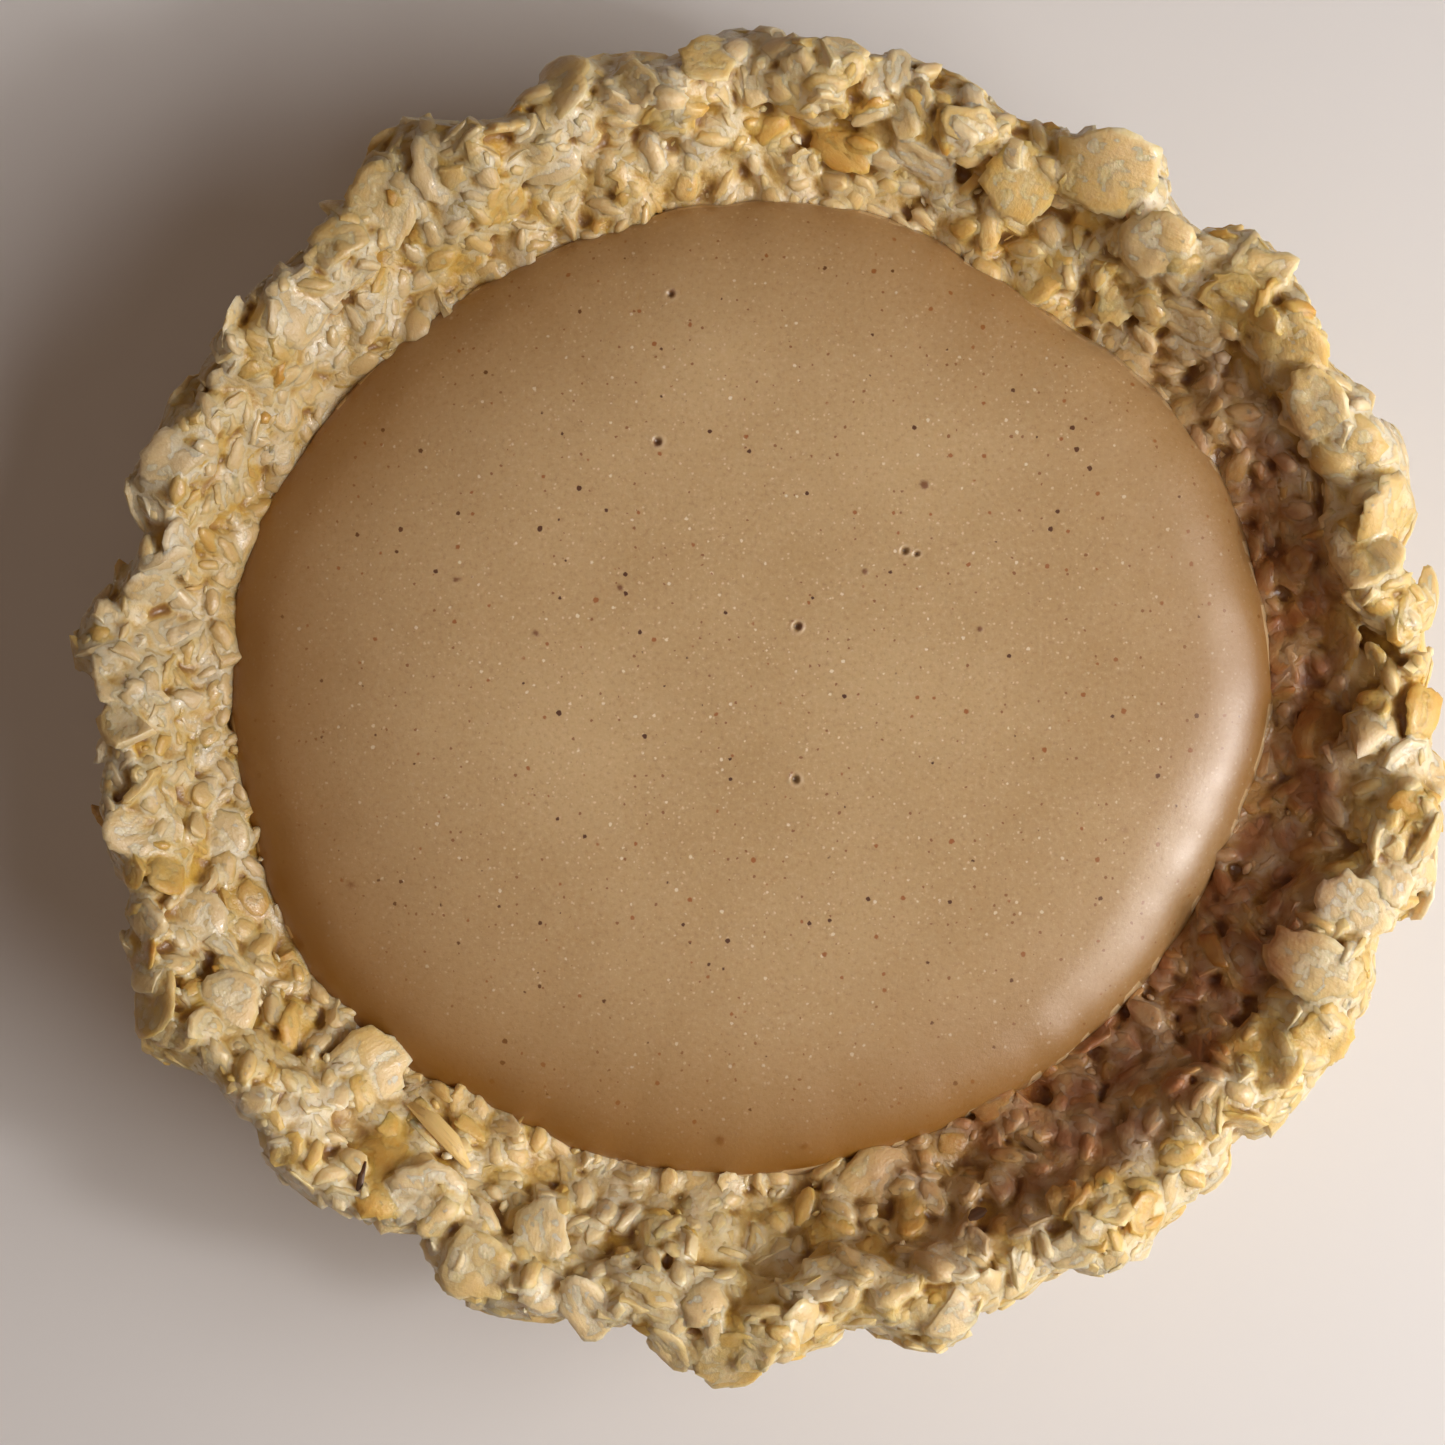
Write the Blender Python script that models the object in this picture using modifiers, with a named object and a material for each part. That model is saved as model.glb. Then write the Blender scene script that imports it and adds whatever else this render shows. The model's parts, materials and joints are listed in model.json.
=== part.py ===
"""Pumpkin spice tart: a fluted crust of pressed rolled oats round a domed spice filling.

Run it with blender --background --python part.py, or from the text editor.
Lengths are metres, +Z is up, the tart stands on Z = 0 and its middle is on the Z axis.
Angles are degrees, turned from +X towards +Y.

Both pieces are turned round the axis as if the tart were a true circle. One warp then moves
every point to its place in the uneven tart, so that crust and filling keep fitting each other.
"""

import math
import random

import bmesh
import bpy
from mathutils import Matrix, Vector, noise

MM = 0.001

# Driving dimensions of the round tart
RIM_RADIUS = 60.0 * MM
BASE_RADIUS = 51.0 * MM
EDGE_RADIUS = 44.0 * MM
RIM_HEIGHT = 22.5 * MM
CREST_HEIGHT = 27.2 * MM
FLOOR_HEIGHT = 6.0 * MM
FOOT_RADIUS = 38.5 * MM
FOOT_HEIGHT = 0.3 * MM
EDGE_HEIGHT = 19.0 * MM
DOME_HEIGHT = 22.6 * MM
GAP = 0.3 * MM

# How the crust departs from the round tart
BASE_LOBE_SHARE = 0.7
CREST_UNEVENNESS = 0.9 * MM
CREST_WAVE_SIZE = 14.0 * MM
CRAG_HEIGHT = 1.5 * MM
CRAG_SIZE = 7.0 * MM
FLAKE_REACH = 0.7 * MM

# Faces round the tart
CRUST_STEPS = 100
FILLING_STEPS = 72
FOOT_STEPS = 32

# Lobes of the rim, each with its angle and reach, then those of the notch after it, in mm
LOBES = (
    (4, 59.8, 12, 55.7),
    (22, 61.2, 30, 57.0),
    (37, 60.1, 49, 55.3),
    (56, 59.8, 64, 55.4),
    (74, 58.5, 82, 56.6),
    (92, 60.0, 99, 55.8),
    (106, 59.0, 115, 56.3),
    (127, 59.0, 133, 56.6),
    (143, 57.5, 149, 56.6),
    (157, 58.6, 165, 56.4),
    (176, 60.5, 184, 57.0),
    (192, 60.4, 197, 57.5),
    (209, 61.7, 218, 57.0),
    (225, 61.0, 237, 55.3),
    (247, 60.0, 257, 56.5),
    (268, 59.1, 278, 55.6),
    (287, 58.8, 296, 56.6),
    (305, 59.2, 316, 56.2),
    (328, 60.3, 337, 56.6),
    (345, 61.4, 356, 58.3),
)

# Where the filling ends, as an angle and a radius in mm
FILLING_EDGE = (
    (0, 44.9),
    (15, 44.6),
    (30, 44.6),
    (42, 43.4),
    (54, 41.9),
    (64, 42.6),
    (75, 43.8),
    (90, 44.2),
    (105, 43.8),
    (120, 44.1),
    (135, 45.2),
    (150, 46.4),
    (165, 48.1),
    (180, 47.5),
    (195, 47.0),
    (210, 47.2),
    (223, 46.2),
    (236, 43.9),
    (255, 42.9),
    (270, 42.2),
    (285, 41.2),
    (300, 40.9),
    (315, 41.4),
    (330, 41.8),
    (345, 43.1),
)

# Rows of oat flakes from the foot of the outer wall over the crest to the filling:
# place along the section from 0 to 1, number, shortest and longest flake in mm, tilt in degrees
FLAKE_ROWS = (
    (0.14, 12, 7.0, 9.5, 5),
    (0.29, 13, 7.0, 9.5, 8),
    (0.43, 17, 7.0, 10.0, 12),
    (0.56, 18, 7.0, 10.5, 17),
    (0.69, 17, 6.5, 10.0, 20),
    (0.81, 15, 6.0, 9.0, 20),
    (0.92, 12, 5.0, 7.0, 16),
)
FLAKE_SIDES = 7
FLAKE_RINGS = 3
FLAKE_THICKNESS = 2.3 * MM
FLAKE_WIDTH_SHARE = (0.62, 0.85)
FLAKE_JITTER = 0.10
FLAKE_SINK = 0.3 * MM
FLAKE_SPREAD = 0.34
SLIVER = 0.002 * MM

# Large flakes that catch the eye: angle, place along the section, length and width in mm, spin
LARGE_FLAKES = (
    (8, 0.57, 6.4, 3.6, 10),
    (56, 0.65, 9.4, 7.6, 30),
    (64, 0.77, 6.8, 6.2, 80),
    (112, 0.78, 5.6, 3.9, 15),
    (194, 0.85, 5.8, 4.8, 60),
    (223, 0.84, 9.0, 8.1, 30),
    (248, 0.74, 7.8, 5.6, 85),
    (282, 0.87, 8.8, 6.9, 10),
    (334, 0.69, 8.2, 5.6, 65),
    (356, 0.78, 5.6, 4.7, 90),
)

SEED = 20
CRUST_COLOUR = (0.72, 0.55, 0.31, 1.0)
FILLING_COLOUR = (0.43, 0.26, 0.12, 1.0)


def clear_scene():
    """Removes every object, so that the scene holds the tart alone."""
    for thing in list(bpy.data.objects):
        bpy.data.objects.remove(thing, do_unlink=True)


def new_collection(name, hidden=False):
    """Makes a collection in the scene, hidden from renders where it holds helpers."""
    made = bpy.data.collections.new(name)
    made.hide_render = hidden
    bpy.context.scene.collection.children.link(made)
    return made


def new_material(name, colour, roughness):
    """Makes a plain Principled material."""
    material = bpy.data.materials.new(name)
    material.use_nodes = True
    shader = material.node_tree.nodes["Principled BSDF"]
    shader.inputs["Base Color"].default_value = colour
    shader.inputs["Roughness"].default_value = roughness
    shader.inputs["Metallic"].default_value = 0.0
    material.diffuse_color = colour
    return material


def between(points, angle, ease):
    """Reads a closed run of (angle, value) points at an angle, eased from point to point."""
    angle = angle % 360
    closed = list(points) + [(points[0][0] + 360, points[0][1])]
    if angle < closed[0][0]:
        angle += 360
    for (start, first), (end, last) in zip(closed, closed[1:]):
        if start <= angle <= end:
            return first + (last - first) * ease((angle - start) / (end - start), last > first)
    return closed[0][1]


def round_lobe(share, rising):
    """Eases between notch and lobe, flat on top of the lobe and sharp in the notch."""
    if rising:
        return math.sin(math.pi / 2 * share) ** 0.85
    return 1 - math.sin(math.pi / 2 * (1 - share)) ** 0.85


def smooth(share, rising=True):
    """Eases gently at both ends."""
    return share * share * (3 - 2 * share)


def ramp(value, low, high):
    """Runs smoothly from 0 at low to 1 at high."""
    return smooth(min(1.0, max(0.0, (value - low) / (high - low))))


def rim_reach(angle):
    """Reach of the crust at an angle, with its lobes and notches."""
    points = []
    for lobe_angle, lobe_reach, notch_angle, notch_reach in LOBES:
        points += [(lobe_angle, lobe_reach), (notch_angle, notch_reach)]
    return between(points, angle, round_lobe) * MM - FLAKE_REACH


def filling_reach(angle):
    """Radius of the filling's edge at an angle."""
    return between(FILLING_EDGE, angle, smooth) * MM


def wall_radius(height):
    """Radius of the round tart's outer wall at a height."""
    return BASE_RADIUS + (RIM_RADIUS - BASE_RADIUS) * min(1.0, height / RIM_HEIGHT)


def warped(point):
    """Moves a point of the round tart to its place in the uneven one."""
    radius = math.hypot(point.x, point.y)
    if radius < MM:
        return point.copy()
    angle = math.degrees(math.atan2(point.y, point.x))
    edge = filling_reach(angle)
    wall = wall_radius(point.z)
    lobe_share = BASE_LOBE_SHARE + (1 - BASE_LOBE_SHARE) * min(1.0, point.z / RIM_HEIGHT)
    if radius <= EDGE_RADIUS:
        new_radius = radius * edge / EDGE_RADIUS
    else:
        outside = wall + lobe_share * (rim_reach(angle) - RIM_RADIUS)
        new_radius = edge + (radius - EDGE_RADIUS) / (wall - EDGE_RADIUS) * (outside - edge)
    ways = Vector((point.x, point.y, 0)) / radius
    wave = noise.noise(ways * RIM_RADIUS / CREST_WAVE_SIZE)
    rise = ramp(point.z, EDGE_HEIGHT, CREST_HEIGHT) * ramp(radius, EDGE_RADIUS, EDGE_RADIUS + 6 * MM)
    moved = ways * new_radius
    moved.z = point.z + 2 * CREST_UNEVENNESS * wave * rise
    return moved


def turned(name, profile, steps, collection):
    """Turns a profile of (radius, height) points, listed from the top down its outer side."""
    mesh = bpy.data.meshes.new(name)
    points = [(radius, 0.0, height) for radius, height in profile]
    edges = [(i, i + 1) for i in range(len(points) - 1)]
    mesh.from_pydata(points, edges, [])
    made = bpy.data.objects.new(name, mesh)
    collection.objects.link(made)
    screw = made.modifiers.new("turn", "SCREW")
    screw.steps = steps
    screw.render_steps = steps
    screw.use_merge_vertices = True
    screw.merge_threshold = 0.00001
    apply_modifiers(made)
    return made


def apply_modifiers(thing):
    """Puts an object's evaluated mesh in place of its mesh and modifiers."""
    bpy.context.view_layer.update()
    graph = bpy.context.evaluated_depsgraph_get()
    mesh = bpy.data.meshes.new_from_object(thing.evaluated_get(graph))
    thing.modifiers.clear()
    thing.data = mesh


def warp_mesh(thing):
    """Warps every vertex of a turned object."""
    for vertex in thing.data.vertices:
        vertex.co = warped(vertex.co)


def section_points():
    """Outer face of the crust's section, from the middle of its top to its flat base."""
    return (
        (0.0, EDGE_HEIGHT - 0.5 * MM),
        (EDGE_RADIUS + 0.6 * MM, EDGE_HEIGHT + 0.2 * MM),
        (EDGE_RADIUS + 3.2 * MM, EDGE_HEIGHT + 1.3 * MM),
        (EDGE_RADIUS + 6.0 * MM, EDGE_HEIGHT + 3.2 * MM),
        (EDGE_RADIUS + 8.6 * MM, EDGE_HEIGHT + 5.7 * MM),
        (EDGE_RADIUS + 10.6 * MM, CREST_HEIGHT - 0.7 * MM),
        (EDGE_RADIUS + 12.0 * MM, CREST_HEIGHT),
        (RIM_RADIUS - 2.0 * MM, CREST_HEIGHT - 1.3 * MM),
        (RIM_RADIUS - 0.5 * MM, RIM_HEIGHT + 1.2 * MM),
        (RIM_RADIUS - 0.3 * MM, RIM_HEIGHT - 1.4 * MM),
        (wall_radius(14.5 * MM), 14.5 * MM),
        (wall_radius(8.0 * MM), 8.0 * MM),
        (wall_radius(2.2 * MM), 2.2 * MM),
        (BASE_RADIUS - 1.0 * MM, FOOT_HEIGHT + 0.4 * MM),
        (BASE_RADIUS - 2.4 * MM, FOOT_HEIGHT),
        (0.0, FOOT_HEIGHT),
    )


def foot_points():
    """Profile of the flat round foot that the crust stands on, from its top down."""
    return (
        (0.0, FLOOR_HEIGHT / 2),
        (FOOT_RADIUS + FOOT_HEIGHT, FLOOR_HEIGHT / 2),
        (FOOT_RADIUS + FOOT_HEIGHT, FOOT_HEIGHT),
        (FOOT_RADIUS, 0.0),
        (0.0, 0.0),
    )


def filling_points(grow):
    """Profile of the filling, or of its room in the crust where it is grown by the gap."""
    return (
        (0.0, DOME_HEIGHT + grow),
        (EDGE_RADIUS * 0.35, DOME_HEIGHT - 0.2 * MM + grow),
        (EDGE_RADIUS * 0.65, DOME_HEIGHT - 0.8 * MM + grow),
        (EDGE_RADIUS - 6.5 * MM, DOME_HEIGHT - 1.7 * MM + grow),
        (EDGE_RADIUS - 3.6 * MM, DOME_HEIGHT - 2.5 * MM + grow),
        (EDGE_RADIUS - 1.8 * MM, EDGE_HEIGHT + 0.3 * MM + grow),
        (EDGE_RADIUS - 0.7 * MM + grow * 0.7, EDGE_HEIGHT - 0.4 * MM + grow * 0.7),
        (EDGE_RADIUS - 0.3 * MM + grow, EDGE_HEIGHT - 1.6 * MM),
        (EDGE_RADIUS - 1.6 * MM + grow, EDGE_HEIGHT - 7.0 * MM),
        (EDGE_RADIUS - 3.6 * MM + grow, FLOOR_HEIGHT + 1.3 * MM),
        (EDGE_RADIUS - 5.2 * MM + grow, FLOOR_HEIGHT + GAP - grow),
        (0.0, FLOOR_HEIGHT + GAP - grow),
    )


def point_on_section(share, angle):
    """Place on the warped crust, from 0 at the foot of the wall to 1 at the filling's edge."""
    path = [Vector((radius, 0, height)) for radius, height in reversed(section_points()[1:-2])]
    lengths = [(b - a).length for a, b in zip(path, path[1:])]
    left = share * sum(lengths)
    for start, end, length in zip(path, path[1:], lengths):
        if left <= length:
            break
        left -= length
    point = start.lerp(end, min(1.0, left / length))
    return warped(Matrix.Rotation(math.radians(angle), 3, "Z") @ point)


def surface_at(share, angle):
    """Place, outward normal and the direction round the rim at a spot of the crust."""
    here = point_on_section(share, angle)
    along = point_on_section(min(1.0, share + 0.04), angle) - point_on_section(share - 0.04, angle)
    around = point_on_section(share, angle + 2.5) - point_on_section(share, angle - 2.5)
    return here, around.cross(along).normalized(), around.normalized()


def add_flake(place, length, width, spin, tilt, draw, collection):
    """Adds one closed oat flake, a thin uneven lens lying on the crust."""
    here, normal, around = place
    shape = bmesh.new()
    bmesh.ops.create_uvsphere(shape, u_segments=FLAKE_SIDES, v_segments=FLAKE_RINGS, radius=0.5)
    for vertex in shape.verts:
        stretch = 1 + draw.uniform(-FLAKE_JITTER, FLAKE_JITTER)
        vertex.co.x *= length * stretch
        vertex.co.y *= width * stretch
        vertex.co.z *= FLAKE_THICKNESS * (1 + draw.uniform(-FLAKE_JITTER, FLAKE_JITTER))
    lean = Vector((draw.uniform(-1, 1), draw.uniform(-1, 1), 0)).normalized()
    turn = Matrix.Rotation(math.radians(tilt), 4, lean) @ Matrix.Rotation(math.radians(spin), 4, "Z")
    side = normal.cross(around)
    frame = Matrix((around, side, normal)).transposed().to_4x4()
    shape.transform(Matrix.Translation(here - normal * FLAKE_SINK) @ frame @ turn)
    lowest = min(vertex.co.z for vertex in shape.verts)
    if lowest < 0.4 * MM:
        bmesh.ops.translate(shape, verts=shape.verts, vec=(0, 0, 0.4 * MM - lowest))
    bmesh.ops.recalc_face_normals(shape, faces=shape.faces)
    mesh = bpy.data.meshes.new("oat_flake")
    shape.to_mesh(mesh)
    shape.free()
    collection.objects.link(bpy.data.objects.new("oat_flake", mesh))


def scatter_flakes(collection):
    """Lays the named large flakes first, then the rows, clear of the large ones."""
    draw = random.Random(SEED)
    for angle, share, length, width, spin in LARGE_FLAKES:
        add_flake(surface_at(share, angle), length * MM, width * MM, spin, 8, draw, collection)
    for share, number, shortest, longest, tilt in FLAKE_ROWS:
        step = 360 / number
        start = draw.uniform(0, step)
        for i in range(number):
            angle = start + (i + draw.uniform(-FLAKE_SPREAD, FLAKE_SPREAD)) * step
            row_share = share + draw.uniform(-0.04, 0.04)
            length = draw.uniform(shortest, longest) * MM
            width = length * draw.uniform(*FLAKE_WIDTH_SHARE)
            lean = draw.uniform(0.2, 1.0) * tilt
            if near_large_flake(angle, row_share):
                continue
            place = surface_at(row_share, angle)
            add_flake(place, length, width, draw.uniform(0, 180), lean, draw, collection)


def near_large_flake(angle, share):
    """Says whether a spot lies under one of the large flakes."""
    for large_angle, large_share, *_ in LARGE_FLAKES:
        apart = abs((angle - large_angle + 180) % 360 - 180)
        if apart < 6 and abs(share - large_share) < 0.09:
            return True
    return False


def roughen(thing):
    """Raises crags on the crust's outside, leaving its flat base and its middle alone."""
    shape = bmesh.new()
    shape.from_mesh(thing.data)
    shape.normal_update()
    moves = {}
    for vertex in shape.verts:
        radius = math.hypot(vertex.co.x, vertex.co.y)
        if vertex.co.z < FOOT_HEIGHT + 0.2 * MM or radius < filling_reach(
            math.degrees(math.atan2(vertex.co.y, vertex.co.x))
        ):
            continue
        near = noise.voronoi(vertex.co / CRAG_SIZE)[0]
        height = min(1.0, 1.6 * (near[1] - near[0])) - 0.45
        moves[vertex] = vertex.normal * height * CRAG_HEIGHT * ramp(vertex.co.z, 0, 3 * MM)
    for vertex, move in moves.items():
        vertex.co += move
    shape.to_mesh(thing.data)
    shape.free()


def add_boolean(thing, operation, cutter=None, collection=None):
    """Adds an exact Boolean with one object or with a collection of them."""
    boolean = thing.modifiers.new(operation.lower(), "BOOLEAN")
    boolean.operation = operation
    boolean.solver = "EXACT"
    if collection is None:
        boolean.object = cutter
    else:
        boolean.operand_type = "COLLECTION"
        boolean.collection = collection


def keep_largest_body(thing):
    """Drops loose scraps and fills sealed hollows: only the surface with most faces stays."""
    shape = bmesh.new()
    shape.from_mesh(thing.data)
    bmesh.ops.triangulate(shape, faces=shape.faces)
    bmesh.ops.dissolve_degenerate(shape, edges=shape.edges, dist=SLIVER)
    left = set(shape.faces)
    bodies = []
    while left:
        reached = {left.pop()}
        front = list(reached)
        while front:
            face = front.pop()
            for edge in face.edges:
                if len(edge.link_faces) != 2:
                    continue
                fresh = [other for other in edge.link_faces if other in left]
                left.difference_update(fresh)
                reached.update(fresh)
                front.extend(fresh)
        bodies.append(reached)
    bodies.sort(key=len)
    for body in bodies[:-1]:
        bmesh.ops.delete(shape, geom=list(body), context="FACES")
    shape.to_mesh(thing.data)
    shape.free()


def make_filling(collection):
    """The filling, from the crust's floor to its low dome with a soft rounded edge."""
    filling = turned("spice_filling", filling_points(0.0), FILLING_STEPS, collection)
    warp_mesh(filling)
    return filling


def make_crust(collection, helpers):
    """The crust, with its flakes fused on and the filling's room cut out."""
    crust = turned("oat_crust", section_points(), CRUST_STEPS, collection)
    warp_mesh(crust)
    roughen(crust)
    pieces = new_collection("oat_flakes", hidden=True)
    scatter_flakes(pieces)
    turned("foot", foot_points(), FOOT_STEPS, pieces)
    add_boolean(crust, "UNION", collection=pieces)
    apply_modifiers(crust)
    for flake in list(pieces.objects):
        bpy.data.objects.remove(flake, do_unlink=True)
    bpy.data.collections.remove(pieces)
    room = turned("filling_room", filling_points(GAP), FILLING_STEPS, helpers)
    warp_mesh(room)
    room.hide_render = True
    room.display_type = "WIRE"
    add_boolean(crust, "DIFFERENCE", cutter=room)
    apply_modifiers(crust)
    keep_largest_body(crust)
    return crust


def centre_on_axis(things):
    """Moves all the meshes alike, so that the whole stands over the origin."""
    points = [vertex.co for thing in things for vertex in thing.data.vertices]
    middle_x = (min(p.x for p in points) + max(p.x for p in points)) / 2
    middle_y = (min(p.y for p in points) + max(p.y for p in points)) / 2
    for thing in things:
        thing.data.transform(Matrix.Translation((-middle_x, -middle_y, 0)))


def finish(thing, material, parent, sharp_angle):
    """Dresses a piece, shades it smooth and parents it to the tart's empty."""
    thing.data.materials.clear()
    thing.data.materials.append(material)
    thing.data.shade_smooth()
    thing.data.set_sharp_from_angle(angle=math.radians(sharp_angle))
    thing.parent = parent


def main():
    """Builds the tart."""
    clear_scene()
    tart = new_collection("pumpkin_spice_tart")
    helpers = new_collection("cutters", hidden=True)
    crust = make_crust(tart, helpers)
    filling = make_filling(tart)
    centre_on_axis((crust, filling))
    whole = bpy.data.objects.new("tart", None)
    tart.objects.link(whole)
    finish(crust, new_material("toasted_oats", CRUST_COLOUR, 0.55), whole, 30)
    finish(filling, new_material("spice_filling", FILLING_COLOUR, 0.4), whole, 40)


main()
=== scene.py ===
"""Pumpkin spice tart, dressed: a moist crust of rolled oats round a speckled spice filling.

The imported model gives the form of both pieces. The crust's solid becomes the binder of the
oats, and on it lie real oats at their true size: whole flakes, broken ones, crumbs, nibs and
husks. The filling's solid is replaced by a finer one with the same edge and height.
Lengths are metres unless a name ends in _mm or _px.
"""

import json
import logging
import math
import random
from collections.abc import Callable, Iterable, Sequence
from dataclasses import astuple, dataclass, field
from enum import Enum
from itertools import product

import bpy
import numpy as np
from mathutils import Matrix, Vector, noise
from mathutils.bvhtree import BVHTree

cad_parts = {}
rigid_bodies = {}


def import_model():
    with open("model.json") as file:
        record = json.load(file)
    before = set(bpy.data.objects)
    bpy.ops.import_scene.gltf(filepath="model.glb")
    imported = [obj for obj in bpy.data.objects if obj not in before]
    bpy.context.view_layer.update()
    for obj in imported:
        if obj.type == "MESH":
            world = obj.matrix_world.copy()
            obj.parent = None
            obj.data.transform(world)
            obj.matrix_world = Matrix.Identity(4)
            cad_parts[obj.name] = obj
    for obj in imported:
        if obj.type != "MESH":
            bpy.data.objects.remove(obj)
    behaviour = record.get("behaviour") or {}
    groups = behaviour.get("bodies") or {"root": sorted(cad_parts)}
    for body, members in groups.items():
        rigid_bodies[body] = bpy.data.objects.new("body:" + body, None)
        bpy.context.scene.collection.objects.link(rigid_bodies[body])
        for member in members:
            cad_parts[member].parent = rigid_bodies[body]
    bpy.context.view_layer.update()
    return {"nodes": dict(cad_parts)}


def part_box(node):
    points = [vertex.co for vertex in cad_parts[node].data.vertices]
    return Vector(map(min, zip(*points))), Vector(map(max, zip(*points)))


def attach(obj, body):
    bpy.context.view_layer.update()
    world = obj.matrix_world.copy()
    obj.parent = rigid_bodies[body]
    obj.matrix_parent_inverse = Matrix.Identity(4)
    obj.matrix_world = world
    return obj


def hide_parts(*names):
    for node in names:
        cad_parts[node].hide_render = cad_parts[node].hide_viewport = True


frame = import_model()

MM = 0.001
BODY = "root"
CRUST_NODE = "oat_crust"
FILLING_NODE = "spice_filling"

log = logging.getLogger("tart")

Socket = bpy.types.NodeSocket
Value = Socket | float
Colour = tuple[float, float, float]
Tone = Socket | Colour


class Region(Enum):
    """Parts of the crust that oats lie on in different ways."""

    SLOPE = "inner slope, from the filling up to the crest"
    CREST = "top of the rim"
    SHOULDER = "outer edge of the top, half pressed by the tin"
    WALL = "fluted outer wall, pressed smooth by the tin"
    BASE = "flat underside"
    HIDDEN = "inside, under the filling"


class OatKind(Enum):
    """Sizes of oat that the crust is pressed from."""

    WHOLE = "oat_flakes_whole"
    BROKEN = "oat_flakes_broken"
    CRUMB = "oat_crumbs"
    NIB = "oat_nibs"
    HUSK = "oat_husks"


@dataclass(frozen=True)
class PhotoScale:
    """Turns places in the photograph into places on the tart.

    Attributes:
        middle_px: Pixel over the tart's middle.
        px_per_mm: Pixels a millimetre at the level where the tart is widest.
        frame_px: Side of the square photograph.
        level: Height of that level.
        distance: From the camera down to that level.
    """

    middle_px: tuple[float, float] = (763.1, 692.2)
    px_per_mm: float = 11.4
    frame_px: float = 1445.0
    level: float = 21.2 * MM
    distance: float = 260.0 * MM

    def place(self, x_px: float, y_px: float, height: float) -> tuple[float, float]:
        """Gives the place of what shows at a pixel.

        Args:
            x_px: Pixels from the left edge.
            y_px: Pixels from the top edge.
            height: How high over the floor it lies.

        Returns:
            The place along X and Y.
        """
        middle_x, middle_y = self.frame_middle
        nearness = (self.level + self.distance - height) / self.distance / self.px_per_mm * MM
        across = middle_x + (x_px - self.frame_px / 2) * nearness
        return across, middle_y + (self.frame_px / 2 - y_px) * nearness

    def size(self, pixels: float) -> float:
        """Gives the size of what is so many pixels wide."""
        return pixels / self.px_per_mm * MM

    @property
    def frame_middle(self) -> tuple[float, float]:
        """Place under the middle of the view."""
        x_px, y_px = self.middle_px
        return self.size(self.frame_px / 2 - x_px), self.size(y_px - self.frame_px / 2)

    @property
    def frame_width(self) -> float:
        """Width of the view at the level where the tart is widest."""
        return self.size(self.frame_px)


PHOTO = PhotoScale()


class Bench:
    """Short ways to model by operators, as by hand."""

    @staticmethod
    def clear() -> None:
        """Deselects everything."""
        if bpy.context.mode != "OBJECT":
            bpy.ops.object.mode_set(mode="OBJECT")
        for thing in bpy.context.view_layer.objects:
            thing.select_set(False)

    @staticmethod
    def pick(thing: bpy.types.Object) -> None:
        """Selects one object and makes it the active one.

        Args:
            thing: The object.
        """
        Bench.clear()
        thing.hide_viewport = False
        thing.select_set(True)
        bpy.context.view_layer.objects.active = thing

    @staticmethod
    def edit(thing: bpy.types.Object) -> None:
        """Goes to edit mode with the whole of one object selected.

        Args:
            thing: The object.
        """
        Bench.pick(thing)
        bpy.ops.object.mode_set(mode="EDIT")
        bpy.ops.mesh.select_all(action="SELECT")

    @staticmethod
    def leave() -> None:
        """Goes back to object mode."""
        bpy.ops.object.mode_set(mode="OBJECT")

    @staticmethod
    def placed(name: str, data: bpy.types.ID) -> bpy.types.Object:
        """Makes an object of a mesh, a lamp or a camera, and links it to the scene.

        Args:
            name: The object's name.
            data: What it is made of.

        Returns:
            The object.
        """
        thing = bpy.data.objects.new(name, data)
        bpy.context.scene.collection.objects.link(thing)
        return thing

    @staticmethod
    def added(name: str) -> bpy.types.Object:
        """Names the primitive that was just added and gives it back.

        Args:
            name: Its name.

        Returns:
            The object.
        """
        thing = bpy.context.view_layer.objects.active
        thing.name = name
        thing.data.name = name
        return thing

    @staticmethod
    def apply(thing: bpy.types.Object, kind: str, **values: object) -> None:
        """Adds a modifier and applies it.

        Args:
            thing: The object to change.
            kind: The modifier's type.
            values: The modifier's settings.
        """
        Bench.pick(thing)
        modifier = thing.modifiers.new(kind.lower(), kind)
        for key, value in values.items():
            setattr(modifier, key, value)
        bpy.ops.object.modifier_apply(modifier=modifier.name)

    @staticmethod
    def select_faces(thing: bpy.types.Object, wanted: Callable[[Vector], bool]) -> None:
        """Selects the faces whose middles are wanted, and goes to edit mode.

        Args:
            thing: The object to edit.
            wanted: Says of a face's middle whether it is wanted.
        """
        Bench.edit(thing)
        bpy.ops.mesh.select_mode(type="FACE")
        bpy.ops.mesh.select_all(action="DESELECT")
        Bench.leave()
        for face in thing.data.polygons:
            face.select = wanted(face.center)
        bpy.ops.object.mode_set(mode="EDIT")

    @staticmethod
    def remove(thing: bpy.types.Object) -> None:
        """Removes an object and its mesh.

        Args:
            thing: The object.
        """
        mesh = thing.data
        bpy.data.objects.remove(thing, do_unlink=True)
        bpy.data.meshes.remove(mesh)


def read_points(mesh: bpy.types.Mesh) -> np.ndarray:
    """Reads a mesh's points as rows.

    Args:
        mesh: The mesh to read.

    Returns:
        One row for each point.
    """
    points = np.empty(len(mesh.vertices) * 3, np.float32)
    mesh.vertices.foreach_get("co", points)
    return points.reshape(-1, 3).astype(float)


def write_points(mesh: bpy.types.Mesh, points: np.ndarray) -> None:
    """Writes rows of points back into a mesh."""
    mesh.vertices.foreach_set("co", points.astype(np.float32).ravel())
    mesh.update()


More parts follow.
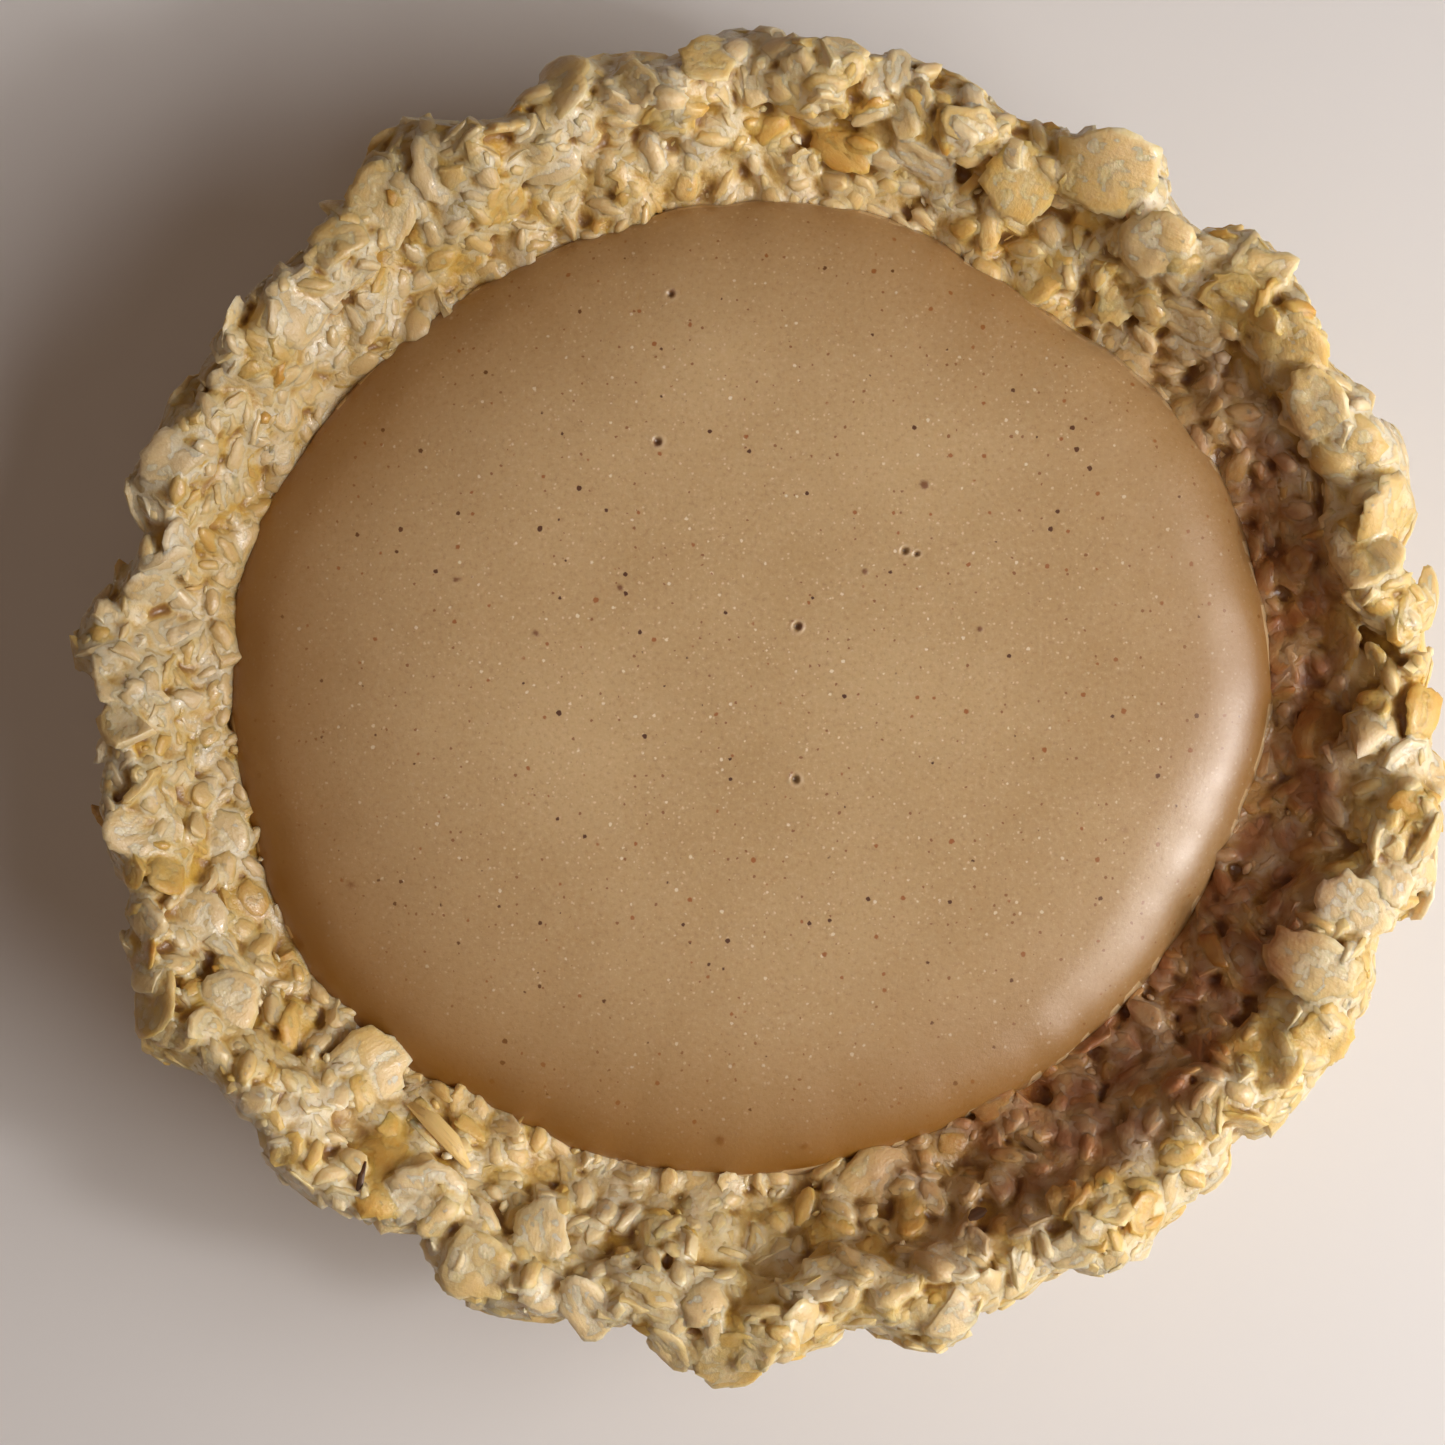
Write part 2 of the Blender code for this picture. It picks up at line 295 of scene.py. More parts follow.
def read_normals(mesh: bpy.types.Mesh) -> np.ndarray:
    """Reads a mesh's point normals as rows.

    Args:
        mesh: The mesh to read.

    Returns:
        One row for each point.
    """
    normals = np.empty(len(mesh.vertices) * 3, np.float32)
    mesh.vertex_normals.foreach_get("vector", normals)
    return normals.reshape(-1, 3).astype(float)


def read_triangles(mesh: bpy.types.Mesh) -> np.ndarray:
    """Reads a mesh's triangles as rows of point numbers.

    Args:
        mesh: The mesh to read.

    Returns:
        One row for each triangle.
    """
    mesh.calc_loop_triangles()
    corners = np.empty(len(mesh.loop_triangles) * 3, np.int32)
    mesh.loop_triangles.foreach_get("vertices", corners)
    return corners.reshape(-1, 3)


def write_attribute(mesh: bpy.types.Mesh, name: str, values: np.ndarray) -> None:
    """Stores one number or one vector for each point of a mesh.

    Args:
        mesh: The mesh to write to.
        name: The attribute's name, which materials read.
        values: One row for each point.
    """
    if values.ndim == 1:
        made = mesh.attributes.new(name, "FLOAT", "POINT")
        made.data.foreach_set("value", values.astype(np.float32))
    else:
        made = mesh.attributes.new(name, "FLOAT_VECTOR", "POINT")
        made.data.foreach_set("vector", values.astype(np.float32).ravel())


def heading(degrees: float) -> Vector:
    """Gives the level direction at an angle from the right towards the top."""
    turn = math.radians(degrees)
    return Vector((math.cos(turn), math.sin(turn), 0))


def ramp(values: np.ndarray, low: float, high: float) -> np.ndarray:
    """Runs smoothly from 0 at low to 1 at high."""
    share = np.clip((values - low) / (high - low), 0, 1)
    return share * share * (3 - 2 * share)


def lumps(points: np.ndarray, size: float, octaves: int, offset: float = 0.0) -> np.ndarray:
    """Reads smooth noise at many points.

    Args:
        points: Rows of places.
        size: Width of the largest lumps.
        octaves: How many times finer lumps are added.
        offset: Moves the pattern, so that two uses differ.

    Returns:
        About -1 to 1 for each point.
    """
    shift = Vector((offset, -offset, 0.5 * offset))
    return np.array(
        [noise.fractal(Vector(p / size) + shift, 0.9, 2.1, octaves) for p in points]
    )


FILLING_LEVELS = (0.62, 0.68, 0.74)
RIM_LEVELS = (0.6, 0.68, 0.76, 0.84)


@dataclass
class TartForm:
    """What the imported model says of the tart's form, read once from its two nodes.

    Attributes:
        bins: Steps round the tart in which outlines are read.
    """

    bins: int = 240
    crust: bpy.types.Object = field(init=False)
    filling: bpy.types.Object = field(init=False)
    rim_reach: np.ndarray = field(init=False)
    filling_reach: np.ndarray = field(init=False)

    def __post_init__(self) -> None:
        """Reads the outlines of the crust and the filling."""
        self.crust = frame["nodes"][CRUST_NODE]
        self.filling = frame["nodes"][FILLING_NODE]
        self.filling_reach = self.outline(self.filling, FILLING_LEVELS, 5)
        self.rim_reach = self.outline(self.crust, RIM_LEVELS, 3)

    def outline(self, node: bpy.types.Object, levels: Iterable[float], spread: int) -> np.ndarray:
        """Feels how far a node reaches in each direction, by rays from outside.

        Args:
            node: The node.
            levels: Heights of the rays, as shares of the node's height.
            spread: Bins over which the reading is evened out.

        Returns:
            One radius for each bin.
        """
        points = read_points(node.data)
        low, high = points[:, 2].min(), points[:, 2].max()
        tree = BVHTree.FromPolygons(points.tolist(), read_triangles(node.data).tolist())
        reach = np.zeros(self.bins)
        far = 0.1
        for step in range(self.bins):
            turn = (step + 0.5) / self.bins * math.tau
            way = Vector((math.cos(turn), math.sin(turn), 0))
            for level in levels:
                start = way * far + Vector((0, 0, low + (high - low) * level))
                _, _, _, gap = tree.ray_cast(start, -way)
                reach[step] = max(reach[step], far - gap if gap is not None else 0)
        window = np.hanning(spread + 2)[1:-1]
        wrapped = np.concatenate([reach[-spread:], reach, reach[:spread]])
        evened = np.convolve(wrapped, window / window.sum(), mode="same")
        return evened[spread:-spread]

    def read(self, reach: np.ndarray, x: np.ndarray, y: np.ndarray) -> np.ndarray:
        """Reads an outline in the direction of each place.

        Args:
            reach: The outline, one radius for each bin.
            x: The places along X.
            y: The places along Y.

        Returns:
            The outline's radius for each place.
        """
        turn = np.degrees(np.arctan2(y, x)) % 360
        steps = (np.arange(self.bins) + 0.5) * 360 / self.bins
        return np.interp(turn, steps, reach, period=360)

    @property
    def height(self) -> float:
        """Height of the crust's tallest flake."""
        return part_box(CRUST_NODE)[1].z

    @property
    def dome(self) -> float:
        """Height of the middle of the filling."""
        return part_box(FILLING_NODE)[1].z


class Graph:
    """A node tree, with short ways to add nodes and to join them."""

    def __init__(self, tree: bpy.types.NodeTree) -> None:
        """Takes the tree to work on."""
        self.tree = tree

    def node(self, kind: str, **settings: object) -> bpy.types.Node:
        """Adds a node and sets its properties.

        Args:
            kind: The node's type.
            settings: Its properties.

        Returns:
            The node.
        """
        made = self.tree.nodes.new(kind)
        for key, value in settings.items():
            setattr(made, key, value)
        return made

    def put(self, value: object, socket: Socket) -> None:
        """Links a socket to another, or sets a plain value on it.

        Args:
            value: The other socket, or the value.
            socket: The socket to fill.
        """
        if isinstance(value, bpy.types.NodeSocket):
            self.tree.links.new(value, socket)
        else:
            socket.default_value = value

    def math(
        self, operation: str, first: Value, second: Value = 0.0, clamp: bool = False
    ) -> Socket:
        """Adds a Math node and gives its result.

        Args:
            operation: What it works out.
            first: The first value.
            second: The second value.
            clamp: Whether the result is kept from 0 to 1.

        Returns:
            The result.
        """
        made = self.node("ShaderNodeMath", operation=operation, use_clamp=clamp)
        self.put(first, made.inputs[0])
        self.put(second, made.inputs[1])
        return made.outputs[0]

    def plus(self, first: Value, second: Value, times: float = 1.0, shift: float = 0.0) -> Socket:
        """Adds a second value, times a number, and a shift to a first one.

        Args:
            first: The first value.
            second: The second value.
            times: The number.
            shift: The shift.

        Returns:
            The sum.
        """
        made = self.node("ShaderNodeMath", operation="MULTIPLY_ADD")
        self.put(second, made.inputs[0])
        made.inputs[1].default_value = times
        made.inputs[2].default_value = shift
        return self.math("ADD", first, made.outputs[0])

    def span(
        self, value: Value, low: float, high: float, start: float = 0.0, end: float = 1.0
    ) -> Socket:
        """Maps a range smoothly onto another.

        Args:
            value: The value to map.
            low: Start of the range.
            high: End of the range.
            start: Result at its start.
            end: Result at its end.

        Returns:
            The result.
        """
        made = self.node("ShaderNodeMapRange", interpolation_type="SMOOTHSTEP")
        self.put(value, made.inputs[0])
        for socket, number in zip(made.inputs[1:5], (low, high, start, end)):
            socket.default_value = number
        return made.outputs[0]

    def mix(self, share: Value, first: Tone, second: Tone, how: str = "MIX") -> Socket:
        """Mixes two colours and gives the result.

        Args:
            share: Share of the second colour.
            first: The first colour.
            second: The second colour.
            how: Way of mixing.

        Returns:
            The mixed colour.
        """
        made = self.node("ShaderNodeMix", data_type="RGBA", blend_type=how)
        self.put(share, made.inputs[0])
        for value, socket in ((first, made.inputs[6]), (second, made.inputs[7])):
            self.put((*value, 1.0) if isinstance(value, tuple) else value, socket)
        return made.outputs[2]

    def ramp(self, share: Value, stops: Sequence[tuple[float, Colour]]) -> Socket:
        """Reads a colour from a run of stops.

        Args:
            share: Where to read, from 0 to 1.
            stops: Places and colours, in order.

        Returns:
            The colour.
        """
        made = self.node("ShaderNodeValToRGB")
        self.put(share, made.inputs[0])
        band = made.color_ramp
        while len(band.elements) < len(stops):
            band.elements.new(0.5)
        for element, (place, colour) in zip(band.elements, stops):
            element.position = place
            element.color = (*colour, 1.0)
        return made.outputs[0]

    def noise(self, place: Socket, scale: float, detail: float = 2.0, rough: float = 0.5) -> Socket:
        """Reads smooth noise from 0 to 1.

        Args:
            place: Where to read.
            scale: Lumps a metre.
            detail: How many times finer lumps are added.
            rough: Strength of the finer lumps.

        Returns:
            The noise.
        """
        made = self.node("ShaderNodeTexNoise")
        self.put(place, made.inputs["Vector"])
        made.inputs["Scale"].default_value = scale
        made.inputs["Detail"].default_value = detail
        made.inputs["Roughness"].default_value = rough
        return made.outputs["Fac"]

    def stretch(self, place: Socket, scale: tuple[float, float, float]) -> Socket:
        """Scales a place along its axes.

        Args:
            place: The place.
            scale: Factors along X, Y and Z.

        Returns:
            The scaled place.
        """
        made = self.node("ShaderNodeMapping")
        self.put(place, made.inputs["Vector"])
        made.inputs["Scale"].default_value = scale
        return made.outputs["Vector"]

    def attribute(self, name: str, output: str = "Fac") -> Socket:
        """Reads a piece's own attribute."""
        return self.node("ShaderNodeAttribute", attribute_name=name).outputs[output]

    def object_place(self) -> Socket:
        """Reads the place on the object, in metres."""
        return self.node("ShaderNodeTexCoord").outputs["Object"]

    def bump(self, height: Socket, distance: float) -> Socket:
        """Turns a height into a normal.

        Args:
            height: The height.
            distance: How high a height of 1 stands.

        Returns:
            The normal.
        """
        made = self.node("ShaderNodeBump")
        made.inputs["Distance"].default_value = distance
        self.put(height, made.inputs["Height"])
        return made.outputs["Normal"]

    def group(self, tree: bpy.types.NodeTree, **values: object) -> bpy.types.Node:
        """Adds a node group and fills its inputs.

        Args:
            tree: The group.
            values: What its inputs are filled with.

        Returns:
            Its node.
        """
        made = self.node("ShaderNodeGroup", node_tree=tree)
        for key, value in values.items():
            self.put(value, made.inputs[key])
        return made


class Surface(Graph):
    """A new material's node tree, with its main shader."""

    def __init__(self, name: str) -> None:
        """Makes the material.

        Args:
            name: The material's name.
        """
        self.material = bpy.data.materials.new(name)
        self.material.use_nodes = True
        super().__init__(self.material.node_tree)
        self.shader = self.material.node_tree.nodes["Principled BSDF"]

    def fill(self, **values: object) -> None:
        """Fills inputs of the shader, with an underscore for each space in a name."""
        for key, value in values.items():
            self.put(value, self.shader.inputs[key.replace("_", " ")])

    def moisten(self, film: bpy.types.NodeTree, amount: float, roughness: float) -> None:
        """Lays a moist film on the surface.

        Args:
            film: The node group of the film.
            amount: How much of the surface it covers.
            roughness: Roughness of the film itself.
        """
        moist = self.group(film, Place=self.object_place(), Amount=amount)
        self.fill(
            Roughness=moist.outputs["Roughness"],
            Coat_Weight=moist.outputs["Film"],
            Coat_Roughness=roughness,
        )

    def soften(self, share: float, radius: Colour, reach: float) -> None:
        """Lets light into the surface.

        Args:
            share: Share of the light that goes in.
            radius: How far red, green and blue go, as shares of the reach.
            reach: How far light goes.
        """
        self.fill(Subsurface_Weight=share, Subsurface_Radius=radius, Subsurface_Scale=reach)


WOBBLE_SCALE = 4200.0
WOBBLE_REACH = 0.22 * MM
SMALLEST_SPECK = 0.02
# Painted shade: way and reach of the darker, redder inner slope towards the lower right, which
# faces away from the lamp.
SLOPE_SHADE_WAY = (0.94, -0.34, 0.0)
SLOPE_SHADE_EDGE = (49 * MM, 53.5 * MM)
DRY_ROUGHNESS = 0.33


class Effects:
    """Effects that several materials use, each a node group built once."""

    def __init__(self) -> None:
        """Builds the groups."""
        self.specks = self.build_specks()
        self.oat_tone = self.build_oat_tone()
        self.damp = self.build_damp()

    @staticmethod
    def start(
        name: str, inputs: dict[str, tuple[str, float]], outputs: dict[str, str]
    ) -> tuple[bpy.types.NodeTree, Graph, bpy.types.Node, bpy.types.Node]:
        """Makes an empty group with named inputs and outputs.

        Args:
            name: The group's name.
            inputs: Each input's kind of socket and its usual value.
            outputs: Each output's kind of socket.

        Returns:
            The tree, a graph on it, and its input and output nodes.
        """
        tree = bpy.data.node_groups.new(name, "ShaderNodeTree")
        for label, (kind, usual) in inputs.items():
            socket = tree.interface.new_socket(name=label, in_out="INPUT", socket_type=kind)
            if kind == "NodeSocketFloat":
                socket.default_value = usual
        for label, kind in outputs.items():
            tree.interface.new_socket(name=label, in_out="OUTPUT", socket_type=kind)
        graph = Graph(tree)
        return tree, graph, graph.node("NodeGroupInput"), graph.node("NodeGroupOutput")

    def build_specks(self) -> bpy.types.NodeTree:
        """Round specks: a share of the cells of a pattern holds one, each of its own size.

        Returns:
            The group, which gives a mask.
        """
        tree, graph, given, out = self.start(
            "scattered_specks",
            {
                "Place": ("NodeSocketVector", 0.0),
                "Scale": ("NodeSocketFloat", 1000.0),
                "Share": ("NodeSocketFloat", 0.3),
                "Size": ("NodeSocketFloat", 0.3),
                "Softness": ("NodeSocketFloat", 0.1),
            },
            {"Mask": "NodeSocketFloat"},
        )
        uneven = graph.node("ShaderNodeTexNoise")
        graph.put(given.outputs["Place"], uneven.inputs["Vector"])
        uneven.inputs["Scale"].default_value = WOBBLE_SCALE
        wobble = graph.node("ShaderNodeVectorMath", operation="MULTIPLY_ADD")
        graph.put(uneven.outputs["Color"], wobble.inputs[0])
        wobble.inputs[1].default_value = (WOBBLE_REACH,) * 3
        graph.put(given.outputs["Place"], wobble.inputs[2])
        cells = graph.node("ShaderNodeTexVoronoi")
        graph.put(wobble.outputs[0], cells.inputs["Vector"])
        graph.put(given.outputs["Scale"], cells.inputs["Scale"])
        split = graph.node("ShaderNodeSeparateColor")
        graph.put(cells.outputs["Color"], split.inputs[0])
        chosen = graph.math("LESS_THAN", split.outputs[0], given.outputs["Share"])
        own_size = graph.math("MULTIPLY_ADD", split.outputs[1], given.outputs["Size"])
        own_size.node.inputs[2].default_value = SMALLEST_SPECK
        inner = graph.math("SUBTRACT", own_size, cells.outputs["Distance"])
        mask = graph.math("DIVIDE", inner, given.outputs["Softness"], clamp=True)
        graph.put(graph.math("MULTIPLY", mask, chosen), out.inputs["Mask"])
        return tree

    def build_oat_tone(self) -> bpy.types.NodeTree:
        """Colour and relief of an oat: ivory heart, golden parts, streaks, bran, syrup and painted
        shade.

        Returns:
            The group, which gives the colour, the height and the mask of the painted shade on the
            lower right inner slope.
        """
        tree, graph, given, out = self.start(
            "oat_tone",
            {
                "Place": ("NodeSocketVector", 0.0),
                "Grain": ("NodeSocketVector", 0.0),
                "Tint": ("NodeSocketFloat", 0.5),
                "Rim": ("NodeSocketFloat", 0.0),
                "Depth": ("NodeSocketFloat", 0.0),
                "Damp": ("NodeSocketFloat", 0.0),
            },
            {"Color": "NodeSocketColor", "Height": "NodeSocketFloat", "Slope_Shade": "NodeSocketFloat"},
        )
        grain = given.outputs["Grain"]
        patch = graph.noise(given.outputs["Place"], scale=110.0, detail=2.0, rough=0.5)
        cloud = graph.noise(grain, scale=560.0, detail=3.0, rough=0.55)
        tint = graph.plus(given.outputs["Tint"], patch, times=0.9, shift=-0.48)
        tint = graph.plus(tint, cloud, times=0.8, shift=-0.4)
        tint = graph.plus(tint, given.outputs["Rim"], times=-0.12, shift=0.05)
        face = graph.ramp(tint, OAT_FACES)
        fibres = graph.stretch(grain, scale=(0.35, 2.6, 1.6))
        streaks = graph.noise(fibres, scale=900.0, detail=3.0, rough=0.6)
        face = graph.mix(graph.span(streaks, low=0.6, high=0.72, end=0.25), face, OAT_STRAW)
        bran = graph.group(
            self.specks, Place=grain, Scale=520.0, Share=0.025, Size=0.14, Softness=0.1
        )
        face = graph.mix(graph.math("MULTIPLY", bran.outputs[0], 0.7), face, OAT_BRAN)
        face = graph.mix(graph.math("MULTIPLY", given.outputs["Damp"], 0.5), face, OAT_SOAKED)
        # Where an oat dips into the syrup it turns darker amber: partly the syrup's colour, partly
        # painted crease shade.
        sunk = graph.plus(given.outputs["Depth"], cloud, times=0.3, shift=-0.15)
        face = graph.mix(graph.span(sunk, low=0.5, high=1.1, end=0.55), face, SUNK_SYRUP_AND_SHADE)
        # Painted shade, multiplied into the colour: on the lower right inner slope and over the
        # left side.
        shaded, shade_darkened = self.sides(graph, given.outputs["Place"])
        graph.put(shaded, out.inputs["Slope_Shade"])
        face = graph.mix(shaded, face, PAINTED_SLOPE_SHADE, "MULTIPLY")
        # Painted shade: the whole left side is darker.
        face = graph.mix(shade_darkened, face, PAINTED_LEFT_SHADE, "MULTIPLY")
        graph.put(face, out.inputs["Color"])
        fine = graph.noise(grain, scale=2600.0, detail=3.0, rough=0.6)
        grooves = graph.math("MULTIPLY", streaks, 0.45)
        relief = graph.math("ADD", grooves, graph.math("MULTIPLY", fine, 0.6))
        graph.put(relief, out.inputs["Height"])
        return tree

    @staticmethod
    def sides(graph: Graph, place: Socket) -> tuple[Socket, Socket]:
        """Masks the two sides of the crust where shade is painted into the colour.

        Args:
            graph: The graph to add to.
            place: The place on the tart.

        Returns:
            The painted shade on the lower right inner slope, which faces away from the lamp, and
            the painted shade over the left side.
        """
        flat = graph.stretch(place, scale=(1.0, 1.0, 0.0))
        reach = graph.node("ShaderNodeVectorMath", operation="LENGTH")
        graph.put(flat, reach.inputs[0])
        ahead = graph.node("ShaderNodeVectorMath", operation="DOT_PRODUCT")
        graph.put(flat, ahead.inputs[0])
        ahead.inputs[1].default_value = SLOPE_SHADE_WAY
        share = graph.math("DIVIDE", ahead.outputs["Value"], reach.outputs["Value"])
        inner = graph.span(reach.outputs["Value"], *SLOPE_SHADE_EDGE)
        uneven = graph.noise(place, scale=330.0, detail=2.0)
        uneven = graph.span(uneven, low=0.35, high=0.65, start=1.0, end=0.6)
        inner = graph.math("MULTIPLY", graph.math("SUBTRACT", 1.0, inner), uneven)
        # Painted shade on the inner slope towards the lower right, away from the lamp.
        shaded = graph.math("MULTIPLY", graph.span(share, low=0.3, high=0.85), inner)
        # The second mask is the painted shade over the left side.
        return shaded, graph.span(share, low=-0.3, high=-0.9)

    def build_damp(self) -> bpy.types.NodeTree:
        """Moist film: where it lies, and how glossy it leaves the surface.

        Returns:
            The group, which gives the film's cover and the surface's roughness.
        """
        tree, graph, given, out = self.start(
            "damp_film",
            {
                "Place": ("NodeSocketVector", 0.0),
                "Amount": ("NodeSocketFloat", 0.5),
            },
            {"Film": "NodeSocketFloat", "Roughness": "NodeSocketFloat"},
        )
        wide = graph.noise(given.outputs["Place"], scale=330.0, detail=3.0, rough=0.6)
        film = graph.math("ADD", wide, graph.math("SUBTRACT", given.outputs["Amount"], 0.5))
        film = graph.span(film, low=0.45, high=0.75)
        graph.put(graph.math("MULTIPLY", film, 0.6), out.inputs["Film"])
        fine = graph.noise(given.outputs["Place"], scale=1500.0, detail=2.0, rough=0.5)
        dry = graph.math("MULTIPLY_ADD", fine, 0.2)
        dry.node.inputs[2].default_value = DRY_ROUGHNESS
        wet = graph.math("MULTIPLY", film, 0.18)
        graph.put(graph.math("SUBTRACT", dry, wet), out.inputs["Roughness"])
        return tree


OAT_FACES = (
    (0.0, (0.62, 0.31, 0.05)),
    (0.25, (0.74, 0.485, 0.14)),
    (0.5, (0.80, 0.615, 0.31)),
    (0.72, (0.83, 0.69, 0.44)),
    (1.0, (0.86, 0.75, 0.55)),
)
OAT_STRAW = (0.76, 0.49, 0.15)
OAT_BRAN = (0.28, 0.12, 0.03)
OAT_SOAKED = (0.65, 0.42, 0.18)
# Amber of an oat in the syrup: partly the syrup's colour, partly painted crease shade.
SUNK_SYRUP_AND_SHADE = (0.68, 0.42, 0.11)
# Painted shade for the lower right inner slope, which faces away from the lamp.
PAINTED_SLOPE_SHADE = (0.49, 0.275, 0.22)
# Painted shade for the left side of the crust.
PAINTED_LEFT_SHADE = (0.75, 0.75, 0.75)
BINDER_CREAM = (0.74, 0.59, 0.29)
BINDER_TAN = (0.68, 0.45, 0.115)
BINDER_AMBER = (0.52, 0.31, 0.05)
DEEP_SYRUP_AND_SHADE = (0.24, 0.105, 0.018)
# Binder colours from crags to creases: cream, tan and amber are the syrup's own; the near-black
# brown of the deepest creases is partly syrup, partly painted shade.
BINDER_TONES = (
    (0.1, BINDER_CREAM),
    (0.42, BINDER_TAN),
    (0.75, BINDER_AMBER),
    (1.0, DEEP_SYRUP_AND_SHADE),
)
HUSK_TONES = (
    (0.0, (0.03, 0.014, 0.008)),
    (0.3, (0.13, 0.06, 0.02)),
    (0.55, (0.42, 0.24, 0.07)),
    (1.0, (0.80, 0.56, 0.22)),
)


@dataclass(frozen=True)
class OatFinish:
    """Moist, slightly translucent oats.

    Attributes:
        name: The material's name.
        damp: How much of the surface a moist film covers.
        scatter: How much light goes through the surface.
        relief: Depth of the streaks on a face.
    """

    name: str
    damp: float = 0.5
    scatter: float = 0.6
    relief: float = 0.14 * MM

    def material(self, effects: Effects) -> bpy.types.Material:
        """Builds the material.

        Args:
            effects: The shared node groups.

        Returns:
            The material, which reads each oat's own attributes.
        """
        graph = Surface(self.name)
        tone = graph.group(
            effects.oat_tone,
            Place=graph.object_place(),
            Grain=graph.attribute("oat_grain", "Vector"),
            Tint=graph.attribute("oat_tint"),
            Rim=graph.attribute("oat_rim"),
            Depth=graph.attribute("oat_depth"),
            Damp=graph.attribute("oat_damp"),
        )
        relief = graph.bump(tone.outputs["Height"], self.relief)
        graph.fill(Base_Color=tone.outputs["Color"], Normal=relief)
        graph.moisten(effects.damp, self.damp, roughness=0.11)
        graph.soften(self.scatter, radius=(1.0, 0.85, 0.68), reach=1 * MM)
        return graph.material


@dataclass(frozen=True)
class BinderFinish:
    """Syrupy binder between the oats: amber in the creases, darkening to painted shade in the
    deepest, creamy on the grains.

    Attributes:
        name: The material's name.
        relief: Depth of the fine grain.
    """

    name: str = "crust_binder"
    relief: float = 0.3 * MM

    def material(self, effects: Effects) -> bpy.types.Material:
        """Builds the material.

        Args:
            effects: The shared node groups.

        Returns:
            The material, which reads the crease attribute.
        """
        graph = Surface(self.name)
        place = graph.object_place()
        cloud = graph.noise(place, scale=420.0, detail=4.0, rough=0.6)
        crease = graph.attribute("crust_crease")
        level = graph.plus(crease, cloud, times=0.6, shift=-0.3)
        syrup = graph.ramp(level, BINDER_TONES)
        oats = graph.group(
            effects.oat_tone,
            Place=place,
            Grain=place,
            Tint=graph.attribute("crust_tint"),
            Rim=0.4,
            Damp=graph.attribute("crust_damp"),
        )
        # Painted shade darkens the syrup on the lower right inner slope too.
        syrup = graph.mix(oats.outputs["Slope_Shade"], syrup, PAINTED_SLOPE_SHADE, "MULTIPLY")
        near = graph.math("MULTIPLY", graph.attribute("crust_near"), 0.92)
        tone = graph.mix(near, syrup, oats.outputs["Color"])
        # The creases take the syrup's colour, which darkens to painted shade in the deepest.
        tone = graph.mix(graph.span(level, low=0.45, high=0.95, end=0.9), tone, syrup)
        fine = graph.noise(place, scale=1500.0, detail=3.0, rough=0.6)
        relief = graph.plus(cloud, fine, times=0.45)
        graph.fill(Base_Color=tone, Normal=graph.bump(relief, self.relief))
        graph.moisten(effects.damp, 0.5, roughness=0.14)
        graph.soften(0.7, radius=(1.0, 0.8, 0.6), reach=1.5 * MM)
        return graph.material


@dataclass(frozen=True)
class HuskFinish:
    """Dry slivers of husk and bran, from golden straw to nearly black.

    Attributes:
        name: The material's name.
        relief: Depth of the streaks.
    """

    name: str = "oat_husk"
    relief: float = 0.05 * MM

    def material(self, effects: Effects) -> bpy.types.Material:
        """Builds the material.

        Args:
            effects: The shared node groups.

        Returns:
            The material, which reads each sliver's own tint.
        """
        graph = Surface(self.name)
        grain = graph.attribute("oat_grain", "Vector")
        tone = graph.ramp(graph.attribute("oat_tint"), HUSK_TONES)
        fibres = graph.stretch(grain, scale=(0.2, 3.0, 3.0))
        streaks = graph.noise(fibres, scale=1500.0, detail=2.0, rough=0.5)
        tone = graph.mix(graph.span(streaks, low=0.5, high=0.75, end=0.35), tone, OAT_BRAN)
        graph.fill(Base_Color=tone, Normal=graph.bump(streaks, self.relief))
        graph.moisten(effects.damp, 0.45, roughness=0.2)
        graph.soften(0.15, radius=(1.0, 0.5, 0.2), reach=1 * MM)
        return graph.material


